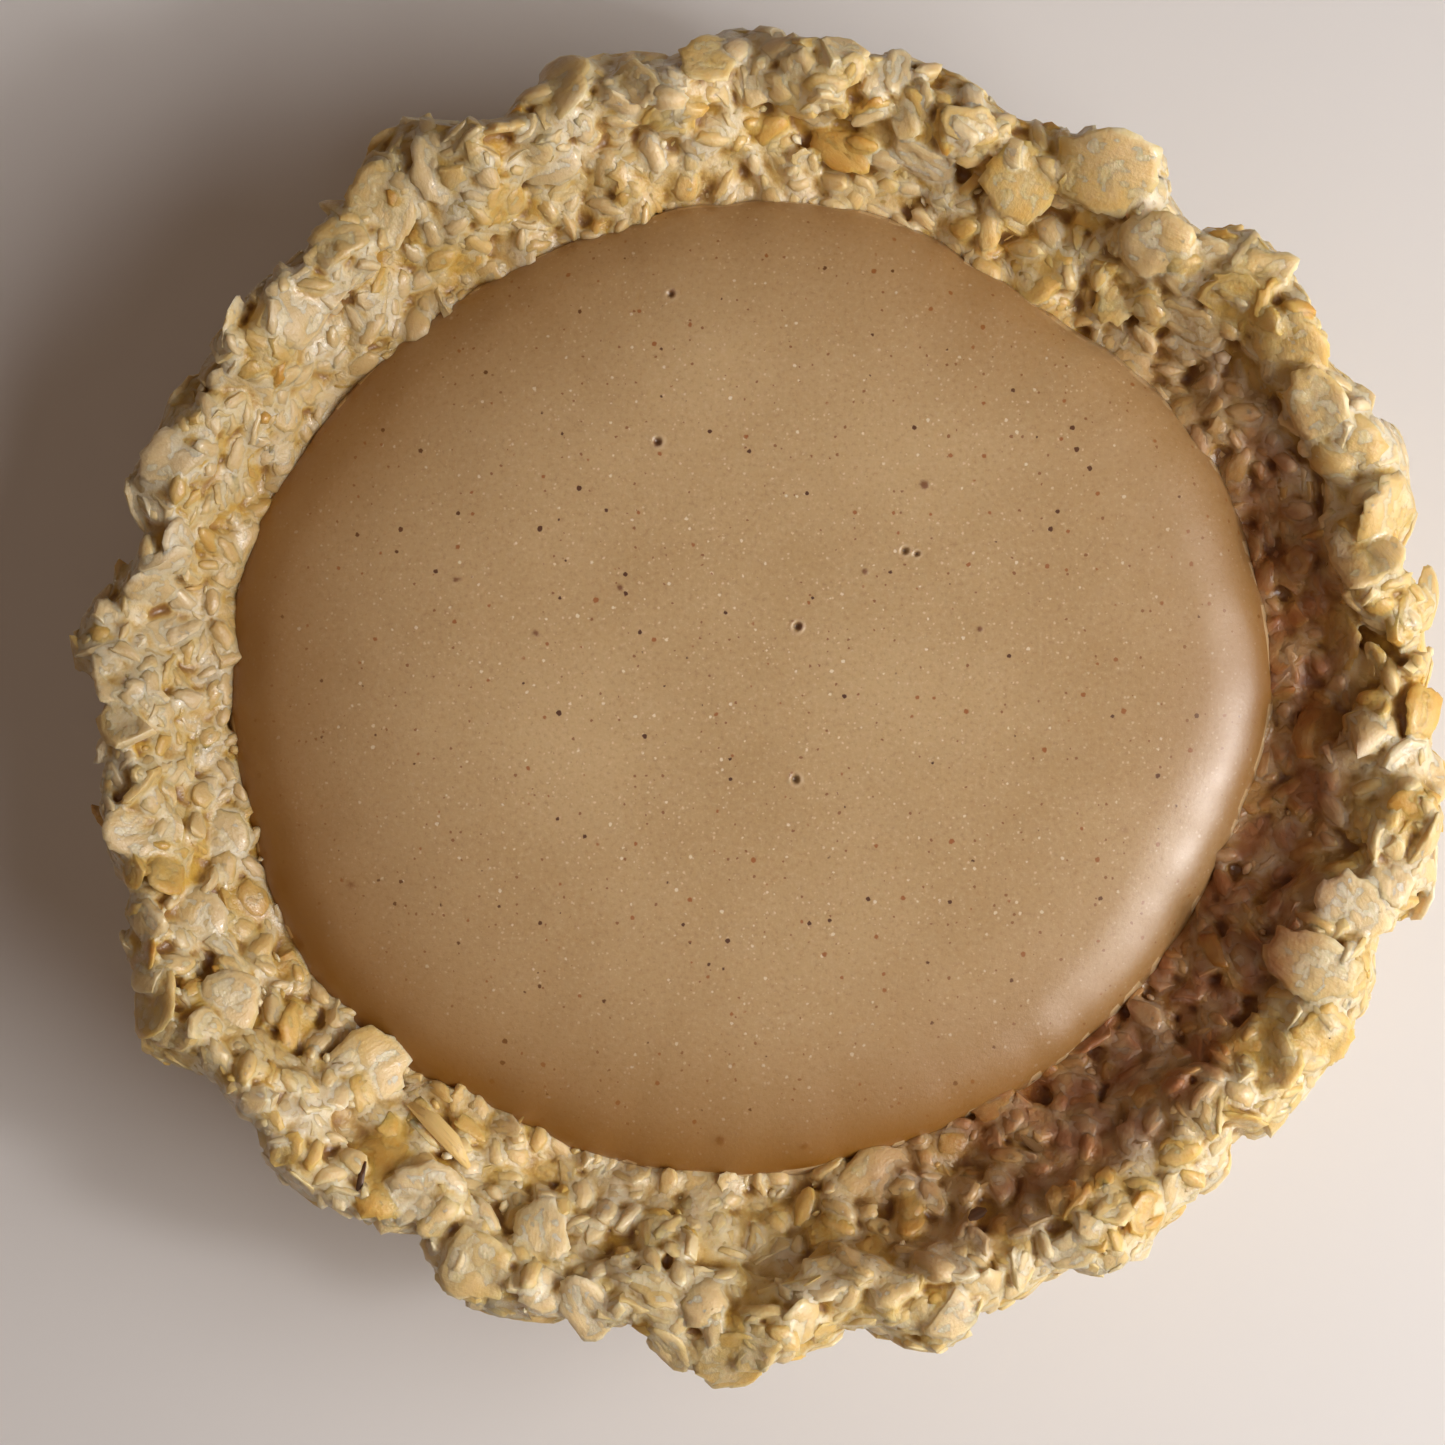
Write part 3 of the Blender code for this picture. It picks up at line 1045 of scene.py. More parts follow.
@dataclass(frozen=True)
class FillingFinish:
    """Set spiced cream: soft tan with cream flecks, fine spice and a few larger grains.

    Attributes:
        name: The material's name.
        tan: The usual colour.
        pale: Colour of the lighter clouds.
        deep: Colour of the darker clouds.
        pale_grain: Colour of the finest pale grain.
        dark_grain: Colour of the finest dark grain.
        spice: Colour of the large grains of spice.
        lip_highlight: Painted highlight on the lip round a pit.
        pit: Painted shade in a pit.
        shade_darkened: Colour of the darker edge, partly dried cream and partly painted shade.
        relief: Depth of the finest grain.
    """

    name: str = "spice_filling"
    tan: Colour = (0.54, 0.37, 0.186)
    pale: Colour = (0.60, 0.425, 0.222)
    deep: Colour = (0.48, 0.315, 0.146)
    pale_grain: Colour = (0.70, 0.52, 0.32)
    dark_grain: Colour = (0.33, 0.18, 0.075)
    spice: Colour = (0.17, 0.05, 0.02)
    lip_highlight: Colour = (0.72, 0.55, 0.38)
    pit: Colour = (0.10, 0.045, 0.02)
    shade_darkened: Colour = (0.26, 0.11, 0.014)
    relief: float = 0.05 * MM

    def material(self, effects: Effects) -> bpy.types.Material:
        """Builds the material.

        Args:
            effects: The shared node groups.

        Returns:
            The material.
        """
        graph = Surface(self.name)
        place = graph.object_place()
        cloud = graph.noise(place, scale=55.0, detail=4.0, rough=0.55)
        tone = graph.ramp(cloud, ((0.25, self.deep), (0.5, self.tan), (0.75, self.pale)))
        grain = graph.noise(place, scale=2300.0, detail=3.0, rough=0.7)
        tone = graph.mix(graph.span(grain, low=0.5, high=0.8, end=0.55), tone, self.pale_grain)
        tone = graph.mix(graph.span(grain, low=0.5, high=0.22, end=0.5), tone, self.dark_grain)
        for layer in FILLING_SPECKS:
            dots = graph.group(
                effects.specks,
                Place=place,
                Scale=layer.scale,
                Share=layer.share,
                Size=layer.size,
                Softness=layer.softness,
            )
            cover = graph.math("MULTIPLY", dots.outputs[0], layer.strength)
            tone = graph.mix(cover, tone, layer.colour)
        spots = graph.attribute("spice_spot")
        fine = graph.noise(place, scale=3000.0, detail=2.0, rough=0.6)
        ragged = graph.plus(spots, fine, times=0.7, shift=-0.35)
        tone = graph.mix(graph.span(ragged, low=0.2, high=0.9, end=0.85), tone, self.spice)
        # Painted highlight round the pits, painted shade in them, and the darker edge, which is
        # partly dried cream and partly painted shade.
        for label, strength, colour in (
            ("pit_lip_highlight", 0.3, self.lip_highlight),
            ("pit_shade", 0.9, self.pit),
            ("edge_dried_and_shade", 0.8, self.shade_darkened),
        ):
            cover = graph.math("MULTIPLY", graph.attribute(label), strength)
            tone = graph.mix(cover, tone, colour)
        wide = graph.noise(place, scale=300.0, detail=3.0, rough=0.5)
        swells = graph.math("MULTIPLY", wide, 0.9)
        relief = graph.math("ADD", graph.math("MULTIPLY", grain, 0.7), swells)
        graph.fill(
            Base_Color=tone,
            Roughness=graph.span(wide, low=0.3, high=0.7, start=0.34, end=0.44),
            Normal=graph.bump(relief, self.relief),
            Coat_Weight=0.55,
            Coat_Roughness=0.32,
        )
        graph.soften(0.25, radius=(1.0, 0.6, 0.3), reach=2 * MM)
        return graph.material


@dataclass(frozen=True)
class SpeckLayer:
    """One kind of speck in the filling.

    Attributes:
        scale: Cells a metre.
        share: Share of the cells that hold a speck.
        size: Largest speck, as a share of a cell.
        softness: Width of a speck's edge, as a share of a cell.
        strength: How much of the speck's colour covers the cream.
        colour: The speck's colour.
    """

    scale: float
    share: float
    size: float
    softness: float
    strength: float
    colour: Colour


FILLING_SPECKS = (
    SpeckLayer(2300.0, 0.6, 0.36, 0.2, 0.6, (0.84, 0.67, 0.46)),
    SpeckLayer(1050.0, 0.5, 0.2, 0.08, 0.75, (0.92, 0.80, 0.60)),
    SpeckLayer(1250.0, 0.5, 0.2, 0.06, 0.85, (0.24, 0.08, 0.025)),
    SpeckLayer(560.0, 0.5, 0.13, 0.03, 1.0, (0.08, 0.022, 0.01)),
    SpeckLayer(620.0, 0.6, 0.16, 0.05, 0.9, (0.33, 0.10, 0.02)),
    SpeckLayer(260.0, 0.3, 0.13, 0.12, 0.32, (0.28, 0.12, 0.05)),
)


@dataclass
class Pattern:
    """One oat shape that many copies are made from, 1 long along X and lying in XY.

    Attributes:
        points: Rows of places.
        corners: Rows of point numbers, one for each triangle.
        rim: 0 in the middle of the shape to 1 at its edge, for each point.
    """

    points: np.ndarray
    corners: np.ndarray
    rim: np.ndarray

    @classmethod
    def taken(cls, thing: bpy.types.Object) -> "Pattern":
        """Takes the shape of a modelled object, scales it to length 1 and removes the object.

        Args:
            thing: The object.

        Returns:
            The pattern.
        """
        points = read_points(thing.data)
        corners = read_triangles(thing.data).copy()
        Bench.remove(thing)
        low, high = points.min(0), points.max(0)
        points = (points - (low + high) / 2) / (high[0] - low[0])
        half = np.abs(points[:, :2]).max(0)
        rim = np.clip(np.hypot(points[:, 0] / half[0], points[:, 1] / half[1]), 0, 1)
        return cls(points, corners, rim)


CRACK_LEAN = 0.2


@dataclass
class OatMould:
    """Models the oat shapes that the crust repeats, each 1 long along X.

    Attributes:
        seed: Start of the random draws.
        thickness: Thickness of a flake, as a share of its length.
        rounding: Width of its rounded edge, as a share of its thickness.
        face_width: Width of the rings of faces on its top.
        sharp: Angle past which an edge of a broken oat is worn round, in degrees.
    """

    seed: int = 7
    thickness: float = 0.17
    rounding: float = 0.42
    face_width: float = 0.42
    sharp: float = 48.0

    def disc(self, sides: int, rings: int) -> bpy.types.Object:
        """Models a flat round disc with a rounded rim.

        Args:
            sides: Corners round it.
            rings: Rings of faces on its top.

        Returns:
            The disc.
        """
        Bench.clear()
        bpy.ops.mesh.primitive_circle_add(vertices=sides, radius=0.5, fill_type="NGON")
        disc = Bench.added("oat_blank")
        Bench.edit(disc)
        bpy.ops.mesh.extrude_region_move(TRANSFORM_OT_translate={"value": (0, 0, self.thickness)})
        bpy.ops.mesh.select_all(action="SELECT")
        bpy.ops.mesh.normals_make_consistent(inside=False)
        Bench.leave()
        for edge in disc.data.edges:
            first, last = (disc.data.vertices[i].co.z for i in edge.vertices)
            edge.select = abs(first - last) < 0.01
        bpy.ops.object.mode_set(mode="EDIT")
        bpy.ops.mesh.select_mode(type="EDGE")
        bpy.ops.mesh.bevel(offset=self.thickness * self.rounding, segments=1, affect="EDGES")
        Bench.leave()
        Bench.select_faces(disc, lambda middle: middle.z > self.thickness * 0.99)
        for _ in range(rings):
            bpy.ops.mesh.inset(thickness=self.face_width / (rings + 1))
        bpy.ops.mesh.poke()
        Bench.leave()
        return disc

    def flake_blank(self, number: int, sides: int, rings: int) -> bpy.types.Object:
        """Models one flake: an uneven oval leaf, cupped, waved and grooved along its middle.

        Args:
            number: Which of the flakes it is, which its unevenness follows.
            sides: Corners round it.
            rings: Rings of faces on its top.

        Returns:
            The flake.
        """
        draw = random.Random(self.seed * 100 + number)
        flake = self.disc(sides, rings)
        points = read_points(flake.data)
        upper = points[:, 2] > self.thickness / 2
        turn = np.arctan2(points[:, 1], points[:, 0])
        out = np.hypot(points[:, 0], points[:, 1]) * 2
        ring = np.column_stack([np.cos(turn), np.sin(turn), np.zeros(len(turn))])
        ragged = 1 + 0.26 * lumps(ring, 0.9, 1, number * 3.7)
        ragged += 0.24 * lumps(ring, 0.4, 2, number * 1.9)
        points[:, :2] *= (1 + (ragged - 1) * out**2)[:, None]
        points[:, 1] *= draw.uniform(0.7, 0.92)
        flat = points * (1, 1, 0)
        leaf = 0.05 * (draw.random() - 0.5) * out**2 + 0.05 * lumps(flat, 0.5, 2, number * 5.3)
        half = self.thickness / 2 * (1.15 - 0.35 * out**2)
        side = points[:, 2] / self.thickness * 2 - 1
        points[:, 2] = leaf + half * side
        bend = 0.05 * lumps(flat, 0.4, 1, number * 2.3)
        groove = np.exp(-(((points[:, 1] - bend) / 0.05) ** 2)) * upper
        groove *= draw.choice((0.0, 0.8, 1.0))
        points[:, 2] -= 0.045 * groove * (1 - out**4)
        points[:, 2] += 0.05 * lumps(flat, 0.24, 2, number * 7.1) * upper * (1 - out**4)
        write_points(flake.data, points)
        return flake

    def whole(self, number: int) -> Pattern:
        """Takes a whole flake."""
        return Pattern.taken(self.flake_blank(number, 18, 2))

    def broken(self, number: int) -> Pattern:
        """Breaks a flake along a few straight cracks and takes the largest bit.

        Args:
            number: Which of the flakes it is.

        Returns:
            The shape.
        """
        draw = random.Random(self.seed * 200 + number)
        flake = self.flake_blank(number + 40, 11, 1)
        first = draw.uniform(0, 360)
        for i in range(draw.choice((1, 1, 2, 2))):
            self.crack(flake, first + i * draw.uniform(80, 150), draw.uniform(0.14, 0.32))
        self.wear(flake, 0.05)
        return Pattern.taken(flake)

    def crack(self, thing: bpy.types.Object, direction: float, reach: float) -> None:
        """Breaks off what lies past a nearly upright plane.

        Args:
            thing: The oat.
            direction: Which side breaks off, in degrees.
            reach: How far from the middle the crack runs.
        """
        way = heading(direction) + Vector((0, 0, CRACK_LEAN))
        Bench.edit(thing)
        bpy.ops.mesh.bisect(
            plane_co=way * reach, plane_no=way.normalized(), use_fill=True, clear_outer=True
        )
        Bench.leave()

    def wear(self, thing: bpy.types.Object, width: float) -> None:
        """Rounds the sharp edges of a broken oat.

        Args:
            thing: The oat.
            width: Width of the rounding.
        """
        Bench.edit(thing)
        bpy.ops.mesh.select_mode(type="EDGE")
        bpy.ops.mesh.select_all(action="DESELECT")
        bpy.ops.mesh.edges_select_sharp(sharpness=math.radians(self.sharp))
        bpy.ops.mesh.bevel(offset=width, segments=1, affect="EDGES", clamp_overlap=True)
        bpy.ops.mesh.select_all(action="SELECT")
        bpy.ops.mesh.remove_doubles(threshold=0.004)
        bpy.ops.mesh.normals_make_consistent(inside=False)
        Bench.leave()

    def lump(self, number: int, divisions: int, flatness: float, cracks: int) -> Pattern:
        """Models a crumb or nib: a soft lump with broken sides.

        Args:
            number: Which of the lumps it is.
            divisions: Fineness of the ball it starts from.
            flatness: Height as a share of the length.
            cracks: How many sides are broken off.

        Returns:
            The shape.
        """
        draw = random.Random(self.seed * 300 + number)
        Bench.clear()
        bpy.ops.mesh.primitive_ico_sphere_add(subdivisions=divisions, radius=0.5)
        crumb = Bench.added("crumb_blank")
        Bench.edit(crumb)
        bpy.ops.transform.vertex_random(offset=0.14, uniform=0.7, normal=0.3, seed=number + 3)
        bpy.ops.mesh.vertices_smooth(factor=0.5, repeat=1)
        slimness = draw.uniform(0.4, 0.75)
        bpy.ops.transform.resize(value=(1.0, slimness, flatness * draw.uniform(0.75, 1.25)))
        Bench.leave()
        for _ in range(cracks):
            self.crack(crumb, draw.uniform(0, 360), draw.uniform(0.24, 0.36))
        if cracks:
            self.wear(crumb, 0.07)
        return Pattern.taken(crumb)

    def husk(self, number: int) -> Pattern:
        """Models a sliver of husk: a thin curved strip with pointed ends.

        Args:
            number: Which of the slivers it is.

        Returns:
            The shape.
        """
        draw = random.Random(self.seed * 400 + number)
        Bench.clear()
        bpy.ops.mesh.primitive_cylinder_add(
            vertices=6, radius=0.06, depth=1.0, end_fill_type="TRIFAN", rotation=(0, math.pi / 2, 0)
        )
        sliver = Bench.added("husk_blank")
        bpy.ops.object.transform_apply(location=True, rotation=True, scale=True)
        Bench.edit(sliver)
        bpy.ops.mesh.subdivide(number_cuts=2)
        Bench.leave()
        points = read_points(sliver.data)
        slim = 1 - 0.7 * np.abs(points[:, 0] * 2) ** 2
        points[:, 1] *= slim * draw.uniform(1.0, 2.2)
        points[:, 2] *= slim * 0.6
        points[:, 2] += draw.uniform(-0.4, 0.4) * points[:, 0] ** 2
        points[:, 1] += draw.uniform(-0.3, 0.3) * points[:, 0] ** 2
        write_points(sliver.data, points)
        return Pattern.taken(sliver)


@dataclass
class Oat:
    """Where and how one oat lies.

    Attributes:
        foot: Place on the binder under the oat.
        normal: Way out of the crust there.
        along: Direction of the oat's length.
        length: The oat's length.
        width: Width as a share of the pattern's own.
        thick: Thickness as a share of the pattern's own.
        tilt: Lean away from the surface, in degrees.
        lean_way: Which way it leans, in degrees from its length.
        curl: How far its ends bend up, as a share of the length.
        rise: Height of its middle over the binder.
        press: Greatest height that the tin left it, or None where it stands free.
        tint: 0 for tan to 1 for ivory.
        damp: 0 for dry to 1 for wet through, as by the filling.
    """

    foot: Vector
    normal: Vector
    along: Vector
    length: float
    width: float = 1.0
    thick: float = 1.0
    tilt: float = 0.0
    lean_way: float = 0.0
    curl: float = 0.0
    rise: float = 0.0
    press: float | None = None
    tint: float = 0.5
    damp: float = 0.0


PRESSED_SHARE = 0.9
LOWEST_OAT = 0.02 * MM
SOAK_HEIGHT = 0.55 * MM


class OatPile:
    """Joins many copies of a few patterns into one mesh, each copy with its own attributes."""

    def __init__(self, name: str, patterns: Sequence[Pattern], seed: int) -> None:
        """Starts an empty pile.

        Args:
            name: The piece's name.
            patterns: The shapes that it repeats.
            seed: Start of the random draws.
        """
        self.name = name
        self.patterns = patterns
        self.draw = random.Random(seed)
        self.points: list[np.ndarray] = []
        self.corners: list[np.ndarray] = []
        self.columns: dict[str, list[np.ndarray]] = {
            label: [] for label in ("tint", "rim", "damp", "grain")
        }
        self.count = 0

    def lay(self, oat: Oat) -> None:
        """Adds one oat.

        Args:
            oat: Where and how it lies.
        """
        pattern = self.patterns[self.draw.randrange(len(self.patterns))]
        side = oat.normal.cross(oat.along).normalized()
        along = side.cross(oat.normal).normalized()
        basis = Matrix((along, side, oat.normal)).transposed()
        basis = basis @ Matrix.Rotation(math.radians(oat.tilt), 3, heading(oat.lean_way))
        local = pattern.points * (oat.length, oat.length * oat.width, oat.length * oat.thick)
        bent = local.copy()
        bent[:, 2] += oat.curl / oat.length * (local[:, 0] ** 2 + 0.6 * local[:, 1] ** 2) * 4
        turned = bent @ np.array(basis).T
        normal = np.array(oat.normal)
        height = turned @ normal + oat.rise
        if oat.press is not None:
            over = np.maximum(height - oat.press, 0) * PRESSED_SHARE
            turned -= over[:, None] * normal
        self.corners.append(pattern.corners + self.count)
        self.points.append(turned + np.array(oat.foot) + normal * oat.rise)
        size = len(local)
        self.count += size
        self.columns["tint"].append(np.full(size, oat.tint))
        self.columns["damp"].append(np.full(size, oat.damp))
        self.columns["rim"].append(pattern.rim)
        shift = np.array([self.draw.uniform(-9, 9) for _ in range(3)])
        self.columns["grain"].append(local + shift)

    def mesh(self) -> bpy.types.Mesh:
        """Makes one mesh of all the oats laid so far.

        Returns:
            The mesh.
        """
        points = np.concatenate(self.points)
        corners = np.concatenate(self.corners)
        points[:, 2] = np.maximum(points[:, 2], LOWEST_OAT)
        mesh = bpy.data.meshes.new(self.name)
        mesh.vertices.add(len(points))
        mesh.vertices.foreach_set("co", points.astype(np.float32).ravel())
        mesh.loops.add(len(corners) * 3)
        mesh.loops.foreach_set("vertex_index", corners.astype(np.int32).ravel())
        mesh.polygons.add(len(corners))
        starts = np.arange(0, len(corners) * 3, 3, dtype=np.int32)
        mesh.polygons.foreach_set("loop_start", starts)
        mesh.update(calc_edges=True)
        return mesh

    def join(self, material: bpy.types.Material, syrup: BVHTree) -> bpy.types.Object:
        """Makes the piece, dresses it and sets it on the tart.

        Args:
            material: The oats' material.
            syrup: The binder's surface, near which the oats soak through.

        Returns:
            The piece.
        """
        mesh = self.mesh()
        for label, column in self.columns.items():
            write_attribute(mesh, f"oat_{label}", np.concatenate(column))
        write_attribute(mesh, "oat_depth", self.shaded(read_points(mesh), syrup))
        mesh.materials.append(material)
        mesh.shade_smooth()
        mesh.set_sharp_from_angle(angle=math.radians(75))
        piece = Bench.placed(self.name, mesh)
        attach(piece, BODY)
        log.info("%s: %d oats, %d triangles", self.name, len(self.points), len(mesh.polygons))
        return piece

    @staticmethod
    def shaded(points: np.ndarray, syrup: BVHTree) -> np.ndarray:
        """Finds how far each point of an oat lies in the syrup, where it turns amber: partly the
        syrup's colour, partly painted crease shade.

        Args:
            points: Rows of places.
            syrup: The binder's surface.

        Returns:
            1 at and under the syrup, down to 0 well above it, for each point.
        """
        depth = np.empty(len(points))
        for i, point in enumerate(points.tolist()):
            found, normal, _, apart = syrup.find_nearest(point)
            above = (Vector(point) - found).dot(normal) > 0
            depth[i] = apart if above else -apart
        return 1 - ramp(depth, 0.0, SOAK_HEIGHT)


FLAT_BASE = 0.3 * MM
CREASE_STEPS = 16
CREASE_DEPTHS = (-0.25 * MM, 0.3 * MM)
CLEAR_SYRUP = (0.12 * MM, 0.4 * MM)
FACING_DOWN = -0.5
TUCKED_IN = 0.35 * MM
UNDERSIDE = 1.2 * MM
ROUGH_FROM = 2 * MM


@dataclass
class CrustBinder:
    """The crust's own body: ground for the oats, and then the syrup that settles round them.

    Attributes:
        form: The tart's form.
        bed_voxel: Width of the faces of the ground.
        sink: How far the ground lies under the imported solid, to leave room for the oats.
        voxel: Width of the faces of the syrup's skin.
        swells: Height of the swells of the ground.
        ripples: Height of the fine ripples of the syrup's skin.
        most_faces: Most triangles of the finished piece.
    """

    form: TartForm
    bed_voxel: float = 0.9 * MM
    sink: float = 0.55 * MM
    voxel: float = 0.36 * MM
    swells: float = 0.95 * MM
    ripples: float = 0.06 * MM
    most_faces: int = 190_000
    piece: bpy.types.Object = field(init=False)
    points: np.ndarray = field(init=False)
    normals: np.ndarray = field(init=False)

    def lay_bed(self) -> None:
        """Models the ground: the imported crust, made finer, softened and sunk a little."""
        self.piece = Bench.placed("crust_binder", self.form.crust.data.copy())
        Bench.edit(self.piece)
        bpy.ops.mesh.remove_doubles(threshold=0.01 * MM)
        Bench.leave()
        self.piece.data.materials.clear()
        Bench.apply(self.piece, "REMESH", mode="VOXEL", voxel_size=self.bed_voxel)
        Bench.apply(self.piece, "SMOOTH", factor=0.6, iterations=8)
        mesh = self.piece.data
        points = read_points(mesh)
        normals = read_normals(mesh)
        shown = self.shown(points, normals)
        rise = self.swells * lumps(points, 6.5 * MM, 2, 2.0) - self.sink
        points += normals * (rise * shown)[:, None]
        points[:, 2] = np.where(points[:, 2] < FLAT_BASE, 0.0, points[:, 2])
        write_points(mesh, points)
        self.points = read_points(mesh)
        self.normals = read_normals(mesh)

    def pour(self, piles: Sequence[OatPile], effects: Effects) -> BVHTree:
        """Lets syrup settle between the oats, and dresses the piece.

        Args:
            piles: The oats that the syrup holds.
            effects: The shared node groups.

        Returns:
            The syrup's surface.
        """
        Bench.pick(self.piece)
        for pile in piles:
            Bench.placed(f"{pile.name}_held", pile.mesh()).select_set(True)
        bpy.ops.object.join()
        Bench.apply(self.piece, "REMESH", mode="VOXEL", voxel_size=self.voxel)
        Bench.apply(self.piece, "SMOOTH", factor=0.5, iterations=4)
        mesh = self.piece.data
        crease = self.creases(mesh)
        points = read_points(mesh)
        normals = read_normals(mesh)
        shown = self.shown(points, normals)
        rise = self.ripples * lumps(points, 1.6 * MM, 2, 5.0)
        points += normals * (rise * shown)[:, None]
        points[:, 2] = np.where(points[:, 2] < FLAT_BASE, 0.0, points[:, 2])
        write_points(mesh, points)
        write_attribute(mesh, "crust_crease", crease)
        share = self.most_faces / len(read_triangles(mesh))
        if share < 1:
            Bench.apply(self.piece, "DECIMATE", ratio=share)
        mesh = self.piece.data
        self.stain(mesh, piles)
        mesh.materials.clear()
        mesh.materials.append(BinderFinish().material(effects))
        mesh.shade_smooth()
        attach(self.piece, BODY)
        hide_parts(CRUST_NODE)
        corners = read_triangles(mesh)
        log.info("crust_binder: %d triangles", len(corners))
        return BVHTree.FromPolygons(read_points(mesh).tolist(), corners.tolist())

    def stain(self, mesh: bpy.types.Mesh, piles: Sequence[OatPile]) -> None:
        """Gives the syrup's skin the tint of the oat that lies just under it.

        Args:
            mesh: The syrup's mesh.
            piles: The oats that the syrup holds.
        """
        points, corners, first = [], [], 0
        for pile in piles:
            points.extend(pile.points)
            corners.append(np.concatenate(pile.corners) + first)
            first += pile.count
        corners = np.concatenate(corners)
        tree = BVHTree.FromPolygons(np.concatenate(points).tolist(), corners.tolist())
        tints = np.concatenate([column for pile in piles for column in pile.columns["tint"]])
        damps = np.concatenate([column for pile in piles for column in pile.columns["damp"]])
        own = read_points(mesh)
        tint, damp, near = (np.zeros(len(own)) for _ in range(3))
        for i, point in enumerate(own.tolist()):
            found, normal, face, apart = tree.find_nearest(point)
            above = (Vector(point) - found).dot(normal) > 0
            nearest = corners[face][0]
            tint[i] = tints[nearest]
            damp[i] = damps[nearest]
            near[i] = apart if above else 0.0
        write_attribute(mesh, "crust_tint", tint)
        write_attribute(mesh, "crust_damp", damp)
        write_attribute(mesh, "crust_near", 1 - ramp(near, *CLEAR_SYRUP))

    def creases(self, mesh: bpy.types.Mesh) -> np.ndarray:
        """Finds how deep each point lies between its surroundings.

        Args:
            mesh: The syrup's mesh.

        Returns:
            0 on the crags to 1 in the creases, for each point.
        """
        points = read_points(mesh)
        normals = read_normals(mesh)
        ends = np.empty(len(mesh.edges) * 2, np.int32)
        mesh.edges.foreach_get("vertices", ends)
        first, last = ends.reshape(-1, 2).T
        size = len(points)
        count = np.bincount(first, minlength=size) + np.bincount(last, minlength=size)
        evened = points.copy()
        for _ in range(CREASE_STEPS):
            for axis in range(3):
                line = evened[:, axis]
                total = np.bincount(first, line[last], size)
                total += np.bincount(last, line[first], size)
                evened[:, axis] = 0.4 * line + 0.6 * total / count
        depth = np.einsum("ij,ij->i", evened - points, normals)
        return ramp(depth, *CREASE_DEPTHS)

    def shown(self, points: np.ndarray, normals: np.ndarray) -> np.ndarray:
        """Finds where the crust shows.

        Args:
            points: Rows of places.
            normals: The way out of the crust at each.

        Returns:
            1 where it shows, and 0 under the filling and at the flat base.
        """
        x, y, z = points.T
        inside = np.hypot(x, y) < self.form.read(self.form.filling_reach, x, y) + TUCKED_IN
        under = (z < UNDERSIDE) & (normals[:, 2] < FACING_DOWN)
        return np.where(inside | under, 0.0, ramp(z, 0.0, ROUGH_FROM))


RIM_SLACK = 0.2 * MM
DAMP_REACH = (1.0 * MM, 5.5 * MM)
BASE_LEVEL = 0.8 * MM
HIDDEN_EDGE = 0.2 * MM
HIDDEN_LEVEL = 1 * MM
WALL_TOP = 6.0 * MM
WALL_SHARE = 0.45
SLOPE_SHARE = 0.62
SHOULDER_SHARE = 0.86


